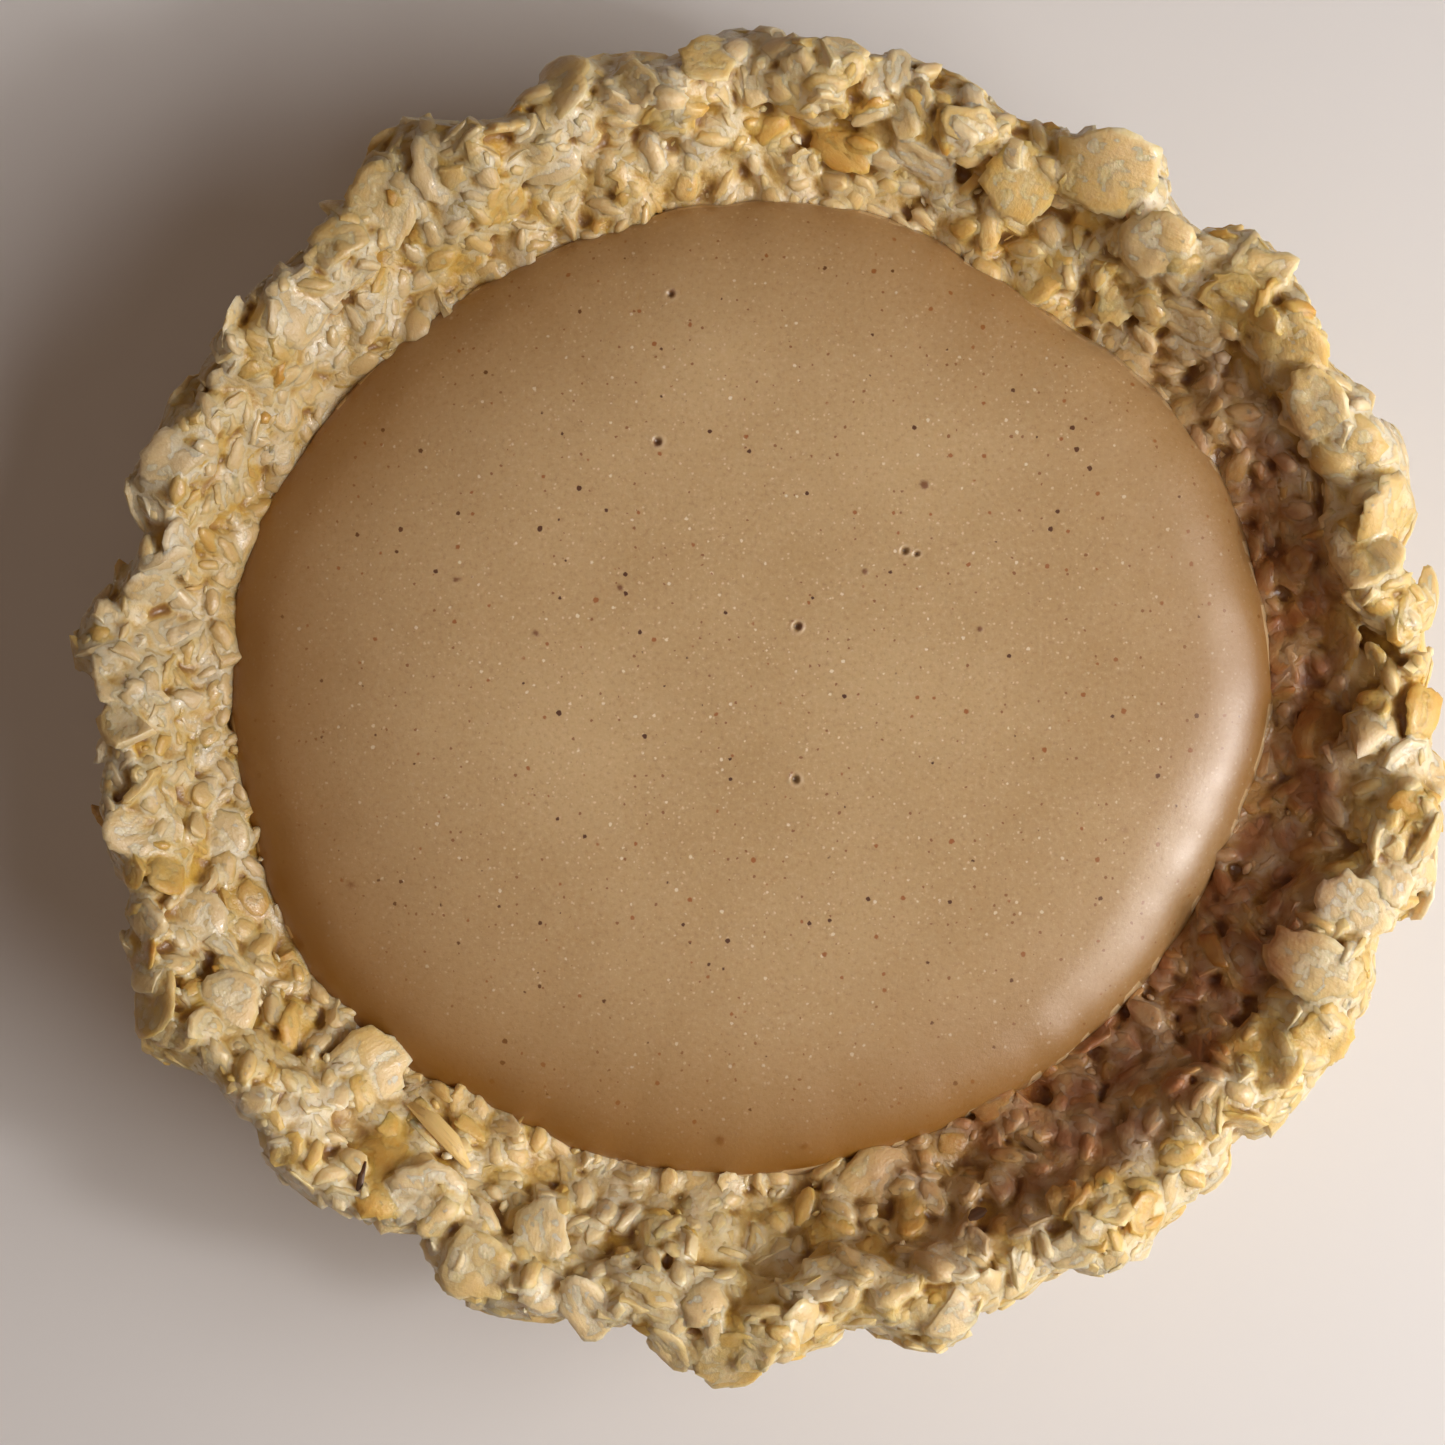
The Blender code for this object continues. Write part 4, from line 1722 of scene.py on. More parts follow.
class OatScatter:
    """Chooses where the oats lie and how, by region of the crust."""

    def __init__(self, binder: CrustBinder, seed: int = 11) -> None:
        """Sorts the binder's faces by region.

        Args:
            binder: The crust's own body.
            seed: Start of the random draws.
        """
        self.binder = binder
        self.form = binder.form
        self.draw = random.Random(seed)
        mesh = binder.piece.data
        self.corners = read_triangles(mesh).copy()
        points, normals = binder.points, binder.normals
        a, b, c = (points[self.corners[:, i]] for i in range(3))
        self.area = np.linalg.norm(np.cross(b - a, c - a), axis=1) / 2
        self.middle = (a + b + c) / 3
        facing = normals[self.corners].mean(axis=1)
        self.facing = facing / np.linalg.norm(facing, axis=1)[:, None]
        self.tree = BVHTree.FromPolygons(points.tolist(), self.corners.tolist())
        x, y, z = self.middle.T
        radius = np.hypot(x, y)
        edge = self.form.read(self.form.filling_reach, x, y)
        reach = self.form.read(self.form.rim_reach, x, y)
        self.across = (radius - edge) / (reach - edge)
        self.damp = 1 - ramp(radius - edge, *DAMP_REACH)
        low = z < self.form.height - WALL_TOP
        covered = z < self.form.dome + HIDDEN_LEVEL
        tests = {
            Region.BASE: (z < BASE_LEVEL) & (self.facing[:, 2] < FACING_DOWN),
            Region.HIDDEN: (radius < edge + HIDDEN_EDGE) & covered,
            Region.WALL: low & (self.across > WALL_SHARE),
            Region.SLOPE: self.across < SLOPE_SHARE,
            Region.SHOULDER: self.across > SHOULDER_SHARE,
        }
        codes = [self.code(region) for region in tests]
        self.region = np.select(list(tests.values()), codes, self.code(Region.CREST))

    @staticmethod
    def code(region: Region) -> int:
        """Gives a region's number."""
        return list(Region).index(region)

    def spots(self, region: Region, count: int, apart: float, taken: list[Vector]) -> list[int]:
        """Chooses faces for oats, spread evenly.

        Args:
            region: Where they lie.
            count: How many are wanted.
            apart: Least distance between two.
            taken: Places to keep clear of.

        Returns:
            Numbers of the chosen faces.
        """
        faces = np.flatnonzero(self.region == self.code(region))
        if not len(faces):
            return []
        weights = self.area[faces] / self.area[faces].sum()
        picker = np.random.default_rng(self.draw.randrange(10**6))
        tries = picker.choice(faces, size=min(len(faces), count * 6), replace=False, p=weights)
        grid: dict[tuple[int, ...], list[np.ndarray]] = {}
        for spot in (np.array(place) for place in taken):
            grid.setdefault(tuple((spot // apart).astype(int)), []).append(spot)
        chosen: list[int] = []
        for face in tries:
            spot = self.middle[face]
            cell = tuple((spot // apart).astype(int))
            if self.crowded(grid, cell, spot, apart):
                continue
            grid.setdefault(cell, []).append(spot)
            chosen.append(int(face))
            if len(chosen) == count:
                break
        return chosen

    @staticmethod
    def crowded(grid: dict, cell: tuple[int, ...], spot: np.ndarray, apart: float) -> bool:
        """Says whether a chosen spot lies too near another.

        Args:
            grid: The spots chosen before, by cell.
            cell: The spot's own cell.
            spot: The spot.
            apart: Least distance between two.

        Returns:
            Whether it does.
        """
        return any(
            np.sum((other - spot) ** 2) < apart * apart
            for step in product((-1, 0, 1), repeat=3)
            for other in grid.get(tuple(a + b for a, b in zip(cell, step)), ())
        )

    def kept_in(self, foot: Vector, along: Vector, length: float) -> Vector:
        """Turns an oat along the rim where its end would stand out past it.

        Args:
            foot: Place under the oat.
            along: Direction of its length.
            length: Its length.

        Returns:
            The direction to lay it in.
        """
        for end in (foot + along * length / 2, foot - along * length / 2):
            reach = self.form.read(self.form.rim_reach, np.array([end.x]), np.array([end.y]))[0]
            if math.hypot(end.x, end.y) > reach + RIM_SLACK:
                return Vector((-foot.y, foot.x, 0)).normalized()
        return along

    def random_way(self, normal: Vector) -> Vector:
        """Draws a direction along the surface.

        Args:
            normal: Way out of the surface.

        Returns:
            The direction.
        """
        while True:
            way = Vector([self.draw.gauss(0, 1) for _ in range(3)])
            flat = way - normal * way.dot(normal)
            if flat.length > 0.2:
                return flat.normalized()


@dataclass(frozen=True)
class Sowing:
    """How one kind of oat is spread over one region.

    Attributes:
        region: Where it lies.
        count: How many.
        apart_mm: Least distance between two.
        length_mm: Shortest and longest.
        tilt: Greatest lean from the surface, in degrees.
        rise_mm: Lowest and highest middle over the binder.
        press_mm: Greatest height that the tin left, or None.
        thick: Thickness as a share of the pattern's own.
        on_edge: Share of the oats that stand on their edge.
        pale: Share of the oats that are ivory, where the others are golden.
    """

    region: Region
    count: int
    apart_mm: float
    length_mm: tuple[float, float]
    tilt: float
    rise_mm: tuple[float, float]
    press_mm: float | None = None
    thick: float = 1.0
    on_edge: float = 0.0
    pale: float = 0.72


SOWINGS: dict[OatKind, tuple[Sowing, ...]] = {
    OatKind.WHOLE: (
        Sowing(Region.CREST, 90, 4.2, (4.6, 7.6), 14, (0.4, 0.9), 1.5, 0.7),
        Sowing(Region.SHOULDER, 56, 4.6, (5.0, 7.6), 14, (0.0, 0.4), 0.8, 0.75),
        Sowing(Region.SLOPE, 120, 4.4, (4.0, 6.8), 18, (0.3, 0.8), 1.4, 0.7, pale=0.65),
        Sowing(Region.WALL, 170, 5.6, (6.0, 9.0), 6, (0.0, 0.3), 0.5, 0.8),
        Sowing(Region.BASE, 150, 6.2, (6.0, 9.0), 3, (-0.2, 0.0), 0.0),
    ),
    OatKind.BROKEN: (
        Sowing(Region.CREST, 280, 2.1, (3.0, 5.4), 32, (0.1, 0.8), 1.5, 1.1, 0.12),
        Sowing(Region.SHOULDER, 220, 2.1, (3.0, 5.0), 16, (0.0, 0.5), 0.8, 1.0),
        Sowing(Region.SLOPE, 520, 2.0, (2.8, 5.2), 30, (0.1, 0.6), 1.3, 1.1, 0.12, 0.65),
        Sowing(Region.WALL, 560, 2.4, (3.0, 5.5), 10, (0.0, 0.35), 0.55),
        Sowing(Region.BASE, 240, 3.2, (3.0, 5.5), 4, (-0.2, 0.0), 0.0),
    ),
    OatKind.CRUMB: (
        Sowing(Region.CREST, 300, 1.8, (2.0, 4.4), 32, (0.2, 0.8), 1.5),
        Sowing(Region.SHOULDER, 200, 1.8, (1.6, 3.2), 22, (0.0, 0.5), 0.8),
        Sowing(Region.SLOPE, 640, 1.6, (2.2, 4.4), 34, (0.2, 0.8), 1.4),
        Sowing(Region.WALL, 500, 1.8, (1.5, 3.0), 18, (0.0, 0.3), 0.5),
    ),
    OatKind.NIB: (
        Sowing(Region.CREST, 70, 2.2, (0.6, 1.3), 60, (0.3, 0.8)),
        Sowing(Region.SHOULDER, 50, 2.2, (0.6, 1.3), 30, (0.2, 0.5), 0.8),
        Sowing(Region.SLOPE, 340, 1.2, (0.6, 1.4), 60, (0.3, 0.7)),
        Sowing(Region.WALL, 200, 1.6, (0.6, 1.4), 30, (0.1, 0.4), 0.55),
    ),
    OatKind.HUSK: (
        Sowing(Region.CREST, 30, 4.0, (1.0, 2.6), 20, (0.7, 1.0)),
        Sowing(Region.SLOPE, 46, 3.5, (0.8, 2.4), 25, (0.6, 0.9)),
        Sowing(Region.WALL, 50, 6.0, (1.2, 3.0), 8, (0.4, 0.6), 0.6),
    ),
}


IVORY_TINT = (0.74, 0.12)
GOLDEN_TINT = (0.42, 0.14)
BARE_SHARE = 0.27
NAMED_THICKNESS = 0.4


@dataclass
class OatCoat:
    """All the oats of the crust, one piece for each kind.

    Attributes:
        scatter: Where oats can lie.
        mould: Models their shapes.
        bare: Places on large flakes, which smaller oats keep clear of.
    """

    scatter: OatScatter
    mould: OatMould = field(default_factory=OatMould)
    bare: list[Vector] = field(default_factory=list)

    def patterns(self, kind: OatKind) -> list[Pattern]:
        """Models the shapes of one kind.

        Args:
            kind: The kind of oat.

        Returns:
            The shapes.
        """
        makers: dict[OatKind, tuple[int, Callable[[int], Pattern]]] = {
            OatKind.WHOLE: (9, self.mould.whole),
            OatKind.BROKEN: (14, self.mould.broken),
            OatKind.CRUMB: (16, lambda i: self.mould.lump(i, 2, 0.45, int(i % 3 == 0))),
            OatKind.NIB: (8, lambda i: self.mould.lump(i + 50, 1, 0.6, 0)),
            OatKind.HUSK: (5, self.mould.husk),
        }
        count, maker = makers[kind]
        return [maker(number) for number in range(count)]

    def build(self, effects: Effects) -> list[bpy.types.Object]:
        """Lays every kind of oat, pours the syrup round them and makes the pieces.

        Args:
            effects: The shared node groups.

        Returns:
            The pieces.
        """
        flake = OatFinish("oat_flake").material(effects)
        crumb = OatFinish("oat_crumb", damp=0.52, scatter=0.75).material(effects)
        husk = HuskFinish().material(effects)
        finishes = {
            OatKind.WHOLE: flake,
            OatKind.BROKEN: flake,
            OatKind.CRUMB: crumb,
            OatKind.NIB: crumb,
            OatKind.HUSK: husk,
        }
        piles = {}
        for kind in OatKind:
            pile = OatPile(kind.value, self.patterns(kind), 31 + len(piles))
            self.lay_named(pile, kind)
            for sowing in SOWINGS[kind]:
                self.sow(pile, kind, sowing)
            piles[kind] = pile
        held = [piles[kind] for kind in (OatKind.WHOLE, OatKind.BROKEN, OatKind.CRUMB)]
        syrup = self.scatter.binder.pour(held, effects)
        return [pile.join(finishes[kind], syrup) for kind, pile in piles.items()]

    def sow(self, pile: OatPile, kind: OatKind, sowing: Sowing) -> None:
        """Spreads one kind of oat over one region.

        Args:
            pile: Where the oats are added.
            kind: The kind of oat.
            sowing: How they are spread.
        """
        draw = self.scatter.draw
        apart = sowing.apart_mm * MM
        for face in self.scatter.spots(sowing.region, sowing.count, apart, self.bare):
            normal = Vector(self.scatter.facing[face])
            foot = Vector(self.scatter.middle[face])
            length = draw.uniform(*sowing.length_mm) * MM
            if kind is OatKind.WHOLE and sowing.region is not Region.WALL:
                self.bare.append(foot)
            on_edge = draw.random() < sowing.on_edge
            pale = draw.random() < sowing.pale
            pile.lay(
                Oat(
                    foot=foot,
                    normal=normal,
                    along=self.scatter.kept_in(foot, self.scatter.random_way(normal), length),
                    length=length,
                    width=draw.uniform(0.45, 0.7) if on_edge else draw.uniform(0.8, 1.15),
                    thick=draw.uniform(0.8, 1.3) * sowing.thick,
                    tilt=draw.uniform(50, 85) if on_edge else sowing.tilt * draw.random() ** 0.8,
                    lean_way=draw.uniform(-20, 20) if on_edge else draw.uniform(0, 360),
                    curl=draw.uniform(-0.1, 0.08),
                    rise=draw.uniform(*sowing.rise_mm) * MM,
                    press=None if sowing.press_mm is None else sowing.press_mm * MM,
                    tint=min(1.0, max(0.0, draw.gauss(*(IVORY_TINT if pale else GOLDEN_TINT)))),
                    damp=float(self.scatter.damp[face]) * draw.uniform(0.6, 1.0),
                )
            )

    def lay_named(self, pile: OatPile, kind: OatKind) -> None:
        """Lays the oats of one kind that stand out in the photograph.

        Args:
            pile: Where the oats are added.
            kind: The kind of oat.
        """
        for named in NAMED_FLAKES:
            if named.kind is not kind:
                continue
            x, y = PHOTO.place(named.x_px, named.y_px, self.scatter.form.height - 3 * MM)
            above = Vector((x, y, 0.1))
            found, normal, _, _ = self.scatter.tree.ray_cast(above, Vector((0, 0, -1)))
            if found is None:
                continue
            along = heading(named.turn)
            across = heading(named.turn + 90) * PHOTO.size(named.width_px)
            length = PHOTO.size(named.length_px)
            steps = (along * length, along * -length, across, -across)
            self.bare += [found] + [found + step * BARE_SHARE for step in steps]
            pile.lay(
                Oat(
                    foot=found,
                    normal=(normal * 0.45 + Vector((0, 0, 0.55))).normalized(),
                    along=along,
                    length=length,
                    width=named.width_px / named.length_px / NAMED_WIDTHS[kind],
                    thick=NAMED_THICKNESS if kind is OatKind.WHOLE else 1.0,
                    tilt=named.tilt,
                    lean_way=named.lean_way,
                    curl=named.curl,
                    rise=named.rise_mm * MM,
                    tint=named.tint,
                )
            )


@dataclass(frozen=True)
class NamedFlake:
    """A large flake that stands out in the photograph.

    Attributes:
        x_px: Its middle in the photograph.
        y_px: Its middle in the photograph.
        length_px: Its length.
        width_px: Its width.
        turn: Direction of its length, in degrees from the right towards the top.
        tilt: Lean, in degrees.
        lean_way: Which way it leans, in degrees from its length.
        curl: How far its ends bend up.
        rise_mm: Height of its middle over the binder.
        tint: 0 for tan to 1 for ivory.
        kind: Kind of oat.
    """

    x_px: float
    y_px: float
    length_px: float
    width_px: float
    turn: float
    tilt: float = 0.0
    lean_way: float = 0.0
    curl: float = -0.07
    rise_mm: float = 1.2
    tint: float = 0.7
    kind: OatKind = OatKind.WHOLE


NAMED_WIDTHS = {OatKind.WHOLE: 0.8, OatKind.HUSK: 0.2}
NAMED_FLAKES = (
    NamedFlake(540, 1245, 86, 60, 85, tint=0.85),
    NamedFlake(355, 1080, 100, 88, 30, tint=0.72, rise_mm=1.3),
    NamedFlake(1110, 165, 108, 84, 165, tint=0.58, rise_mm=1.1),
    NamedFlake(1025, 172, 78, 70, 60, tint=0.48, rise_mm=1.1),
    NamedFlake(548, 150, 62, 40, 10, tint=0.85),
    NamedFlake(205, 838, 62, 52, 150, tint=0.85),
    NamedFlake(1335, 735, 60, 50, 80, tint=0.35),
    NamedFlake(1430, 600, 72, 32, 78, tint=0.45),
    NamedFlake(1310, 965, 96, 62, 145, tint=0.62),
    NamedFlake(875, 1195, 100, 74, 35, tint=0.7),
    NamedFlake(190, 925, 66, 56, 70, tint=0.8),
    NamedFlake(220, 1010, 84, 60, 40, tint=0.75),
    NamedFlake(845, 132, 74, 36, -38, tint=0.18),
    NamedFlake(1000, 1112, 52, 34, 20, tint=0.45),
    NamedFlake(1422, 715, 60, 40, 80, tint=0.2),
    NamedFlake(1130, 285, 60, 44, 60, tint=0.5),
    NamedFlake(437, 1143, 88, 25, -47, curl=0.0, rise_mm=1.7, tint=1.0, kind=OatKind.HUSK),
    NamedFlake(412, 1146, 56, 12, -65, curl=0.0, rise_mm=0.7, tint=0.05, kind=OatKind.HUSK),
    NamedFlake(360, 1183, 40, 9, 80, curl=0.0, rise_mm=1.5, tint=0.12, kind=OatKind.HUSK),
    NamedFlake(1330, 1030, 16, 12, 40, curl=0.0, rise_mm=1.2, tint=0.0, kind=OatKind.HUSK),
    NamedFlake(980, 1222, 20, 12, 30, curl=0.0, rise_mm=1.2, tint=0.1, kind=OatKind.HUSK),
    NamedFlake(640, 1278, 14, 9, 60, curl=0.0, rise_mm=1.2, tint=0.1, kind=OatKind.HUSK),
    NamedFlake(1040, 1155, 34, 9, -40, curl=0.0, rise_mm=1.3, tint=0.35, kind=OatKind.HUSK),
    NamedFlake(1180, 185, 26, 9, 60, curl=0.0, rise_mm=1.2, tint=0.3, kind=OatKind.HUSK),
)


@dataclass
class SpiceFilling:
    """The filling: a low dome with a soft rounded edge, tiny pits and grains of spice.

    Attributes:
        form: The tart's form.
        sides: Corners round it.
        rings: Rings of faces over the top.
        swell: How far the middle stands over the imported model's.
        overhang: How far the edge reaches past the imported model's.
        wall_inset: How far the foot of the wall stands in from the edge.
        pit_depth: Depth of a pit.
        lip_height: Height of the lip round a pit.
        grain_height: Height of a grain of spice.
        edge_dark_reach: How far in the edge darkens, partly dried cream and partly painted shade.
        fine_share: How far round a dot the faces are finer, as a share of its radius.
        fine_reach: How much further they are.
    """

    form: TartForm
    sides: int = 288
    rings: int = 62
    swell: float = 0.8 * MM
    overhang: float = 0.7 * MM
    wall_inset: float = 5.2 * MM
    pit_depth: float = 0.35 * MM
    lip_height: float = 0.05 * MM
    grain_height: float = 0.06 * MM
    edge_dark_reach: float = 10 * MM
    fine_share: float = 2.2
    fine_reach: float = 1.4 * MM

    def build(self, effects: Effects) -> bpy.types.Object:
        """Models the filling and dresses it.

        Args:
            effects: The shared node groups.

        Returns:
            The piece, which stands for the filling's node.
        """
        low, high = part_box(FILLING_NODE)
        Bench.clear()
        bpy.ops.mesh.primitive_circle_add(vertices=self.sides, radius=1.0, fill_type="NGON")
        piece = Bench.added("filling_cream")
        Bench.edit(piece)
        for ring in range(self.rings - 1):
            share = 1 / (self.rings - ring)
            bpy.ops.mesh.inset(thickness=0.0, depth=0.0)
            bpy.ops.transform.resize(value=(1 - share, 1 - share, 1))
        bpy.ops.mesh.poke()
        Bench.leave()
        self.add_wall(piece, low.z - high.z)
        self.refine(piece)
        self.shape(piece, low.z, high.z)
        piece.data.materials.append(FillingFinish().material(effects))
        piece.data.shade_smooth()
        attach(piece, BODY)
        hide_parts(FILLING_NODE)
        log.info("filling_cream: %d faces", len(piece.data.polygons))
        return piece

    def add_wall(self, piece: bpy.types.Object, depth: float) -> None:
        """Draws the rim of the disc down into a wall and closes it underneath.

        Args:
            piece: The disc.
            depth: How far the wall goes up, below 0 for down.
        """
        Bench.edit(piece)
        bpy.ops.mesh.select_mode(type="EDGE")
        bpy.ops.mesh.select_all(action="DESELECT")
        bpy.ops.mesh.select_non_manifold()
        bpy.ops.mesh.extrude_region_move(TRANSFORM_OT_translate={"value": (0, 0, depth)})
        bpy.ops.mesh.edge_face_add()
        bpy.ops.mesh.select_all(action="SELECT")
        bpy.ops.mesh.normals_make_consistent(inside=False)
        Bench.leave()

    def refine(self, piece: bpy.types.Object) -> None:
        """Divides the faces round each pit and each large grain of spice.

        Args:
            piece: The disc with its wall.
        """
        top = self.form.dome + self.swell
        places = [
            (*dot.place(top), self.fine_share * dot.radius + self.fine_reach)
            for dot in PITS + SPICE_GRAINS
        ]
        mean = float(self.form.filling_reach.mean())

        def near(middle: Vector) -> bool:
            """Says whether a face of the top lies by a pit or a grain.

            Args:
                middle: The face's middle.

            Returns:
                Whether it does.
            """
            x, y = middle.x * mean, middle.y * mean
            return middle.z >= -0.5 * MM and any(
                math.hypot(x - px, y - py) < reach for px, py, reach in places
            )

        Bench.select_faces(piece, near)
        bpy.ops.mesh.subdivide(number_cuts=3)
        Bench.leave()

    def shape(self, piece: bpy.types.Object, low: float, high: float) -> None:
        """Moves the disc's points to the filling's outline, dome and edge, and sinks the pits.

        Args:
            piece: The disc with its wall.
            low: Height of the filling's underside.
            high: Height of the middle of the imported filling.
        """
        points = read_points(piece.data)
        under = points[:, 2] < -0.5 * MM
        share = np.hypot(points[:, 0], points[:, 1])
        reach = self.form.read(self.form.filling_reach, points[:, 0], points[:, 1])
        turn = np.column_stack([points[:, 0], points[:, 1]]) / np.maximum(share, 1e-6)[:, None]
        ring = np.column_stack([turn * 20 * MM, np.zeros(len(turn))])
        reach = reach + self.overhang + 0.3 * MM * lumps(ring, 2.5 * MM, 2, 8.0)
        radius = share * reach
        inward = reach - radius
        side = self.sides_at(points[:, 0], points[:, 1])
        slope = np.clip(1 - inward / side["slope"], 0, 1)
        roll = np.clip(1 - inward / side["roll"], 0, 1)
        height = high + self.swell - side["fall"] * slope**2
        height -= side["drop"] * (1 - np.sqrt(np.maximum(0, 1 - roll**2)))
        height = np.maximum(height, low + 2 * MM)
        x = turn[:, 0] * radius
        y = turn[:, 1] * radius
        flat = np.column_stack([x, y, np.zeros(len(x))])
        height += 0.05 * MM * lumps(flat, 9 * MM, 2, 1.0)
        spot = np.zeros(len(x))
        pit_shade_mask = np.zeros(len(x))
        lip_highlight_mask = np.zeros(len(x))
        for dot in SPICE_GRAINS:
            grain = np.exp(-((dot.apart(x, y, high + self.swell) / 0.9) ** 2))
            spot = np.maximum(spot, grain)
            height += self.grain_height * grain
        # Each pit is sunk, with painted shade in it and a painted highlight on its lip.
        for dot in PITS:
            apart = dot.apart(x, y, high + self.swell)
            pit_shade_mask = np.maximum(pit_shade_mask, np.exp(-((apart / 0.75) ** 2)))
            lip_highlight_mask = np.maximum(lip_highlight_mask, np.exp(-(((apart - 1.45) / 0.4) ** 2)))
            height -= self.pit_depth * np.exp(-((apart / 0.8) ** 4))
            height += self.lip_height * np.exp(-(((apart - 1.4) / 0.4) ** 2))
        wall = np.where(under, reach - self.wall_inset, radius) * (share >= 1e-6)
        points[:, :2] = turn * wall[:, None]
        points[:, 2] = np.where(under, low, height)
        write_points(piece.data, points)
        write_attribute(piece.data, "spice_spot", spot)
        write_attribute(piece.data, "pit_shade", pit_shade_mask)
        write_attribute(piece.data, "pit_lip_highlight", lip_highlight_mask)
        # The darker edge is partly dried cream and partly painted shade.
        fade = np.exp(-((inward / self.edge_dark_reach) ** 1.1))
        write_attribute(piece.data, "edge_dried_and_shade", side["stain"] * fade)

    @staticmethod
    def sides_at(x: np.ndarray, y: np.ndarray) -> dict[str, np.ndarray]:
        """Reads how the dome falls off, in the direction of each place.

        Args:
            x: The places along X.
            y: The places along Y.

        Returns:
            Each measure of a DomeSide for each place, in metres.
        """
        turn = np.degrees(np.arctan2(y, x)) % 360
        table = np.array([astuple(side) for side in DOME_SIDES])
        labels = ("slope", "fall", "roll", "drop", "stain")
        units = (MM, MM, MM, MM, 1.0)
        return {
            label: np.interp(turn, table[:, 0], table[:, i + 1], period=360) * unit
            for i, (label, unit) in enumerate(zip(labels, units))
        }


@dataclass(frozen=True)
class DomeSide:
    """How the filling falls off to its edge in one direction.

    Attributes:
        turn: The direction, in degrees from the right towards the top.
        slope_mm: Width of the gentle slope.
        fall_mm: Its height.
        roll_mm: Width of the rounded edge.
        drop_mm: Its height.
        stain: How dark the edge is, partly dried cream and partly painted shade, most on the left
            away from the lamp and at the right under the rim's shadow.
    """

    turn: float
    slope_mm: float
    fall_mm: float
    roll_mm: float
    drop_mm: float
    stain: float


# Edge darkening is partly dried cream and partly painted shade: darkest on the left, away from the
# lamp, and at the right, where the rim shades the edge.
DOME_SIDES = (
    DomeSide(0, 14.0, 1.4, 7.0, 2.9, 1.2),
    DomeSide(20, 14.0, 1.5, 6.5, 2.8, 0.95),
    DomeSide(45, 16.0, 1.8, 6.0, 2.6, 0.5),
    DomeSide(60, 16.0, 2.2, 5.0, 2.2, 0.85),
    DomeSide(100, 18.0, 2.6, 5.0, 2.4, 0.7),
    DomeSide(140, 22.0, 3.2, 5.5, 2.3, 1.1),
    DomeSide(165, 24.0, 3.4, 5.5, 2.3, 1.35),
    DomeSide(195, 24.0, 3.6, 5.5, 2.3, 1.5),
    DomeSide(225, 24.0, 3.4, 5.5, 2.3, 1.5),
    DomeSide(255, 20.0, 3.0, 5.0, 2.2, 1.3),
    DomeSide(285, 16.0, 2.4, 5.0, 2.2, 1.35),
    DomeSide(315, 14.0, 1.6, 6.5, 2.8, 1.0),
    DomeSide(340, 14.0, 1.3, 8.0, 3.2, 0.8),
)


@dataclass(frozen=True)
class Dot:
    """A pit or a large grain of spice.

    Attributes:
        x_px: Its middle in the photograph.
        y_px: Its middle in the photograph.
        radius_px: Its radius.
    """

    x_px: float
    y_px: float
    radius_px: float

    @property
    def radius(self) -> float:
        """Its radius in metres."""
        return PHOTO.size(self.radius_px)

    def place(self, height: float) -> tuple[float, float]:
        """Gives its place along X and Y, where it lies at a height."""
        return PHOTO.place(self.x_px, self.y_px, height)

    def apart(self, x: np.ndarray, y: np.ndarray, height: float) -> np.ndarray:
        """Measures how far places lie from it, as shares of its radius."""
        middle_x, middle_y = self.place(height)
        return np.hypot(x - middle_x, y - middle_y) / self.radius


PITS = (
    Dot(905, 551, 4.0),
    Dot(795, 780, 4.5),
    Dot(670, 291, 4.0),
    Dot(657, 441, 4.5),
    Dot(797, 627, 4.5),
    Dot(917, 554, 3.0),
)
SPICE_GRAINS = (
    Dot(925, 485, 6.0),
    Dot(657, 443, 6.0),
    Dot(800, 627, 5.0),
    Dot(620, 588, 4.0),
    Dot(536, 634, 4.0),
    Dot(672, 289, 5.0),
    Dot(720, 1142, 6.5),
    Dot(805, 1148, 5.0),
    Dot(295, 797, 4.0),
    Dot(455, 580, 3.5),
    Dot(390, 650, 4.0),
    Dot(980, 630, 3.5),
    Dot(865, 572, 4.0),
    Dot(347, 885, 5.0),
)


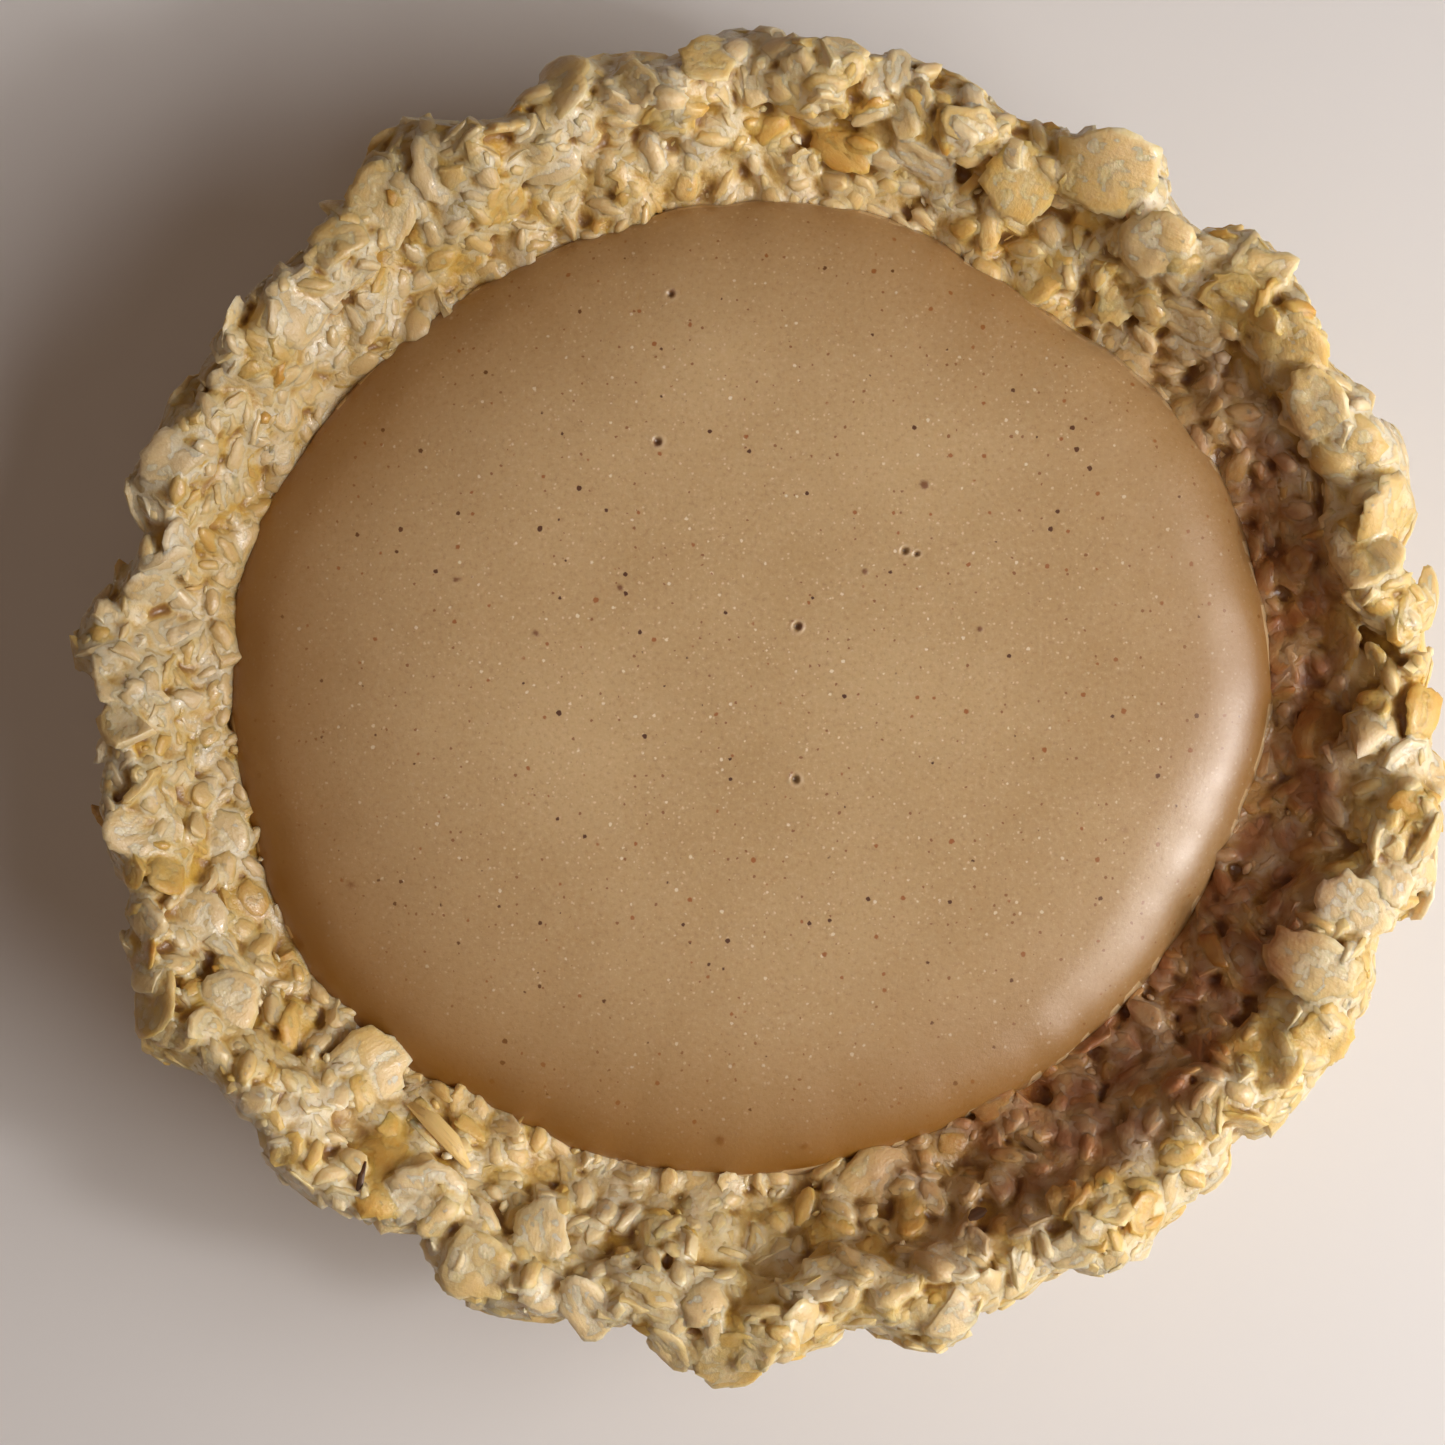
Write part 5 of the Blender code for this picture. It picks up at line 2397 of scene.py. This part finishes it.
@dataclass
class Studio:
    """Floor, light and camera.

    Attributes:
        elevation: Camera's height angle, in degrees.
        azimuth: Camera's direction, in degrees.
        window_place: Where the large lamp hangs.
        floor_tones: Colours of the floor.
    """

    elevation: float = 88.0
    azimuth: float = 0.0
    window_place: tuple[float, float, float] = (0.352, -0.102, 0.285)
    floor_tones: tuple[Colour, Colour] = ((0.70, 0.69, 0.69), (0.76, 0.75, 0.75))

    def build(self) -> None:
        """Builds the floor, the lights and the camera."""
        self.floor()
        self.lights()
        self.camera()

    def floor(self) -> None:
        """Lays a plain pale floor."""
        Bench.clear()
        bpy.ops.mesh.primitive_plane_add(size=3.0, location=(0, 0, 0))
        floor = Bench.added("floor")
        Bench.edit(floor)
        bpy.ops.mesh.subdivide(number_cuts=3)
        Bench.leave()
        graph = Surface("pale_floor")
        cloud = graph.noise(graph.object_place(), scale=9.0, detail=3.0, rough=0.5)
        graph.fill(Base_Color=graph.mix(cloud, *self.floor_tones), Roughness=0.8)
        floor.data.materials.append(graph.material)

    def lights(self) -> None:
        """Hangs a large soft lamp with a small core to the right, and a weak one over the left."""
        self.lamp("window", self.window_place, size=0.4, power=2.35, colour=(1.0, 0.96, 0.925))
        self.lamp("spark", self.window_place, size=0.05, power=0.5, colour=(1.0, 0.97, 0.95))
        self.lamp("ceiling", (-0.2, -0.04, 0.6), size=0.6, power=0.45, colour=(1.0, 0.72, 0.52))
        world = bpy.data.worlds.new("room")
        bpy.context.scene.world = world
        world.use_nodes = True
        back = world.node_tree.nodes["Background"]
        back.inputs["Color"].default_value = (1.0, 0.67, 0.49, 1.0)
        back.inputs["Strength"].default_value = 0.07

    @staticmethod
    def lamp(
        name: str, place: tuple[float, float, float], size: float, power: float, colour: Colour
    ) -> None:
        """Hangs an area lamp that shines at the tart.

        Args:
            name: The lamp's name.
            place: Where it hangs.
            size: Width of its face.
            power: Its power in watts.
            colour: Its colour.
        """
        data = bpy.data.lights.new(name, "AREA")
        data.size = size
        data.energy = power
        data.color = colour
        lamp = Bench.placed(name, data)
        lamp.location = place
        aim = Vector((0, 0, 0.02)) - Vector(place)
        lamp.rotation_euler = aim.to_track_quat("-Z", "Y").to_euler()

    def camera(self) -> None:
        """Sets the camera over the tart, as the photograph was taken."""
        data = bpy.data.cameras.new("camera")
        data.sensor_width = 36.0
        data.sensor_fit = "AUTO"
        data.lens = data.sensor_width * PHOTO.distance / PHOTO.frame_width
        data.clip_start = 0.01
        camera = Bench.placed("camera", data)
        target = Vector((*PHOTO.frame_middle, PHOTO.level))
        up = math.radians(self.elevation)
        turn = math.radians(self.azimuth)
        level = Vector((-math.sin(turn), -math.cos(turn), 0)) * math.cos(up)
        back = level + Vector((0, 0, math.sin(up)))
        camera.location = target + back * PHOTO.distance
        camera.rotation_euler = (-back).to_track_quat("-Z", "Y").to_euler()
        bpy.context.scene.camera = camera
        bpy.context.scene.view_settings.view_transform = "Standard"


def main() -> None:
    """Builds the tart piece by piece, and reports each."""
    logging.basicConfig(level=logging.INFO, format="%(message)s")
    effects = Effects()
    form = TartForm()
    binder = CrustBinder(form)
    binder.lay_bed()
    OatCoat(OatScatter(binder)).build(effects)
    SpiceFilling(form).build(effects)
    Studio().build()


if __name__ == "__main__":
    main()
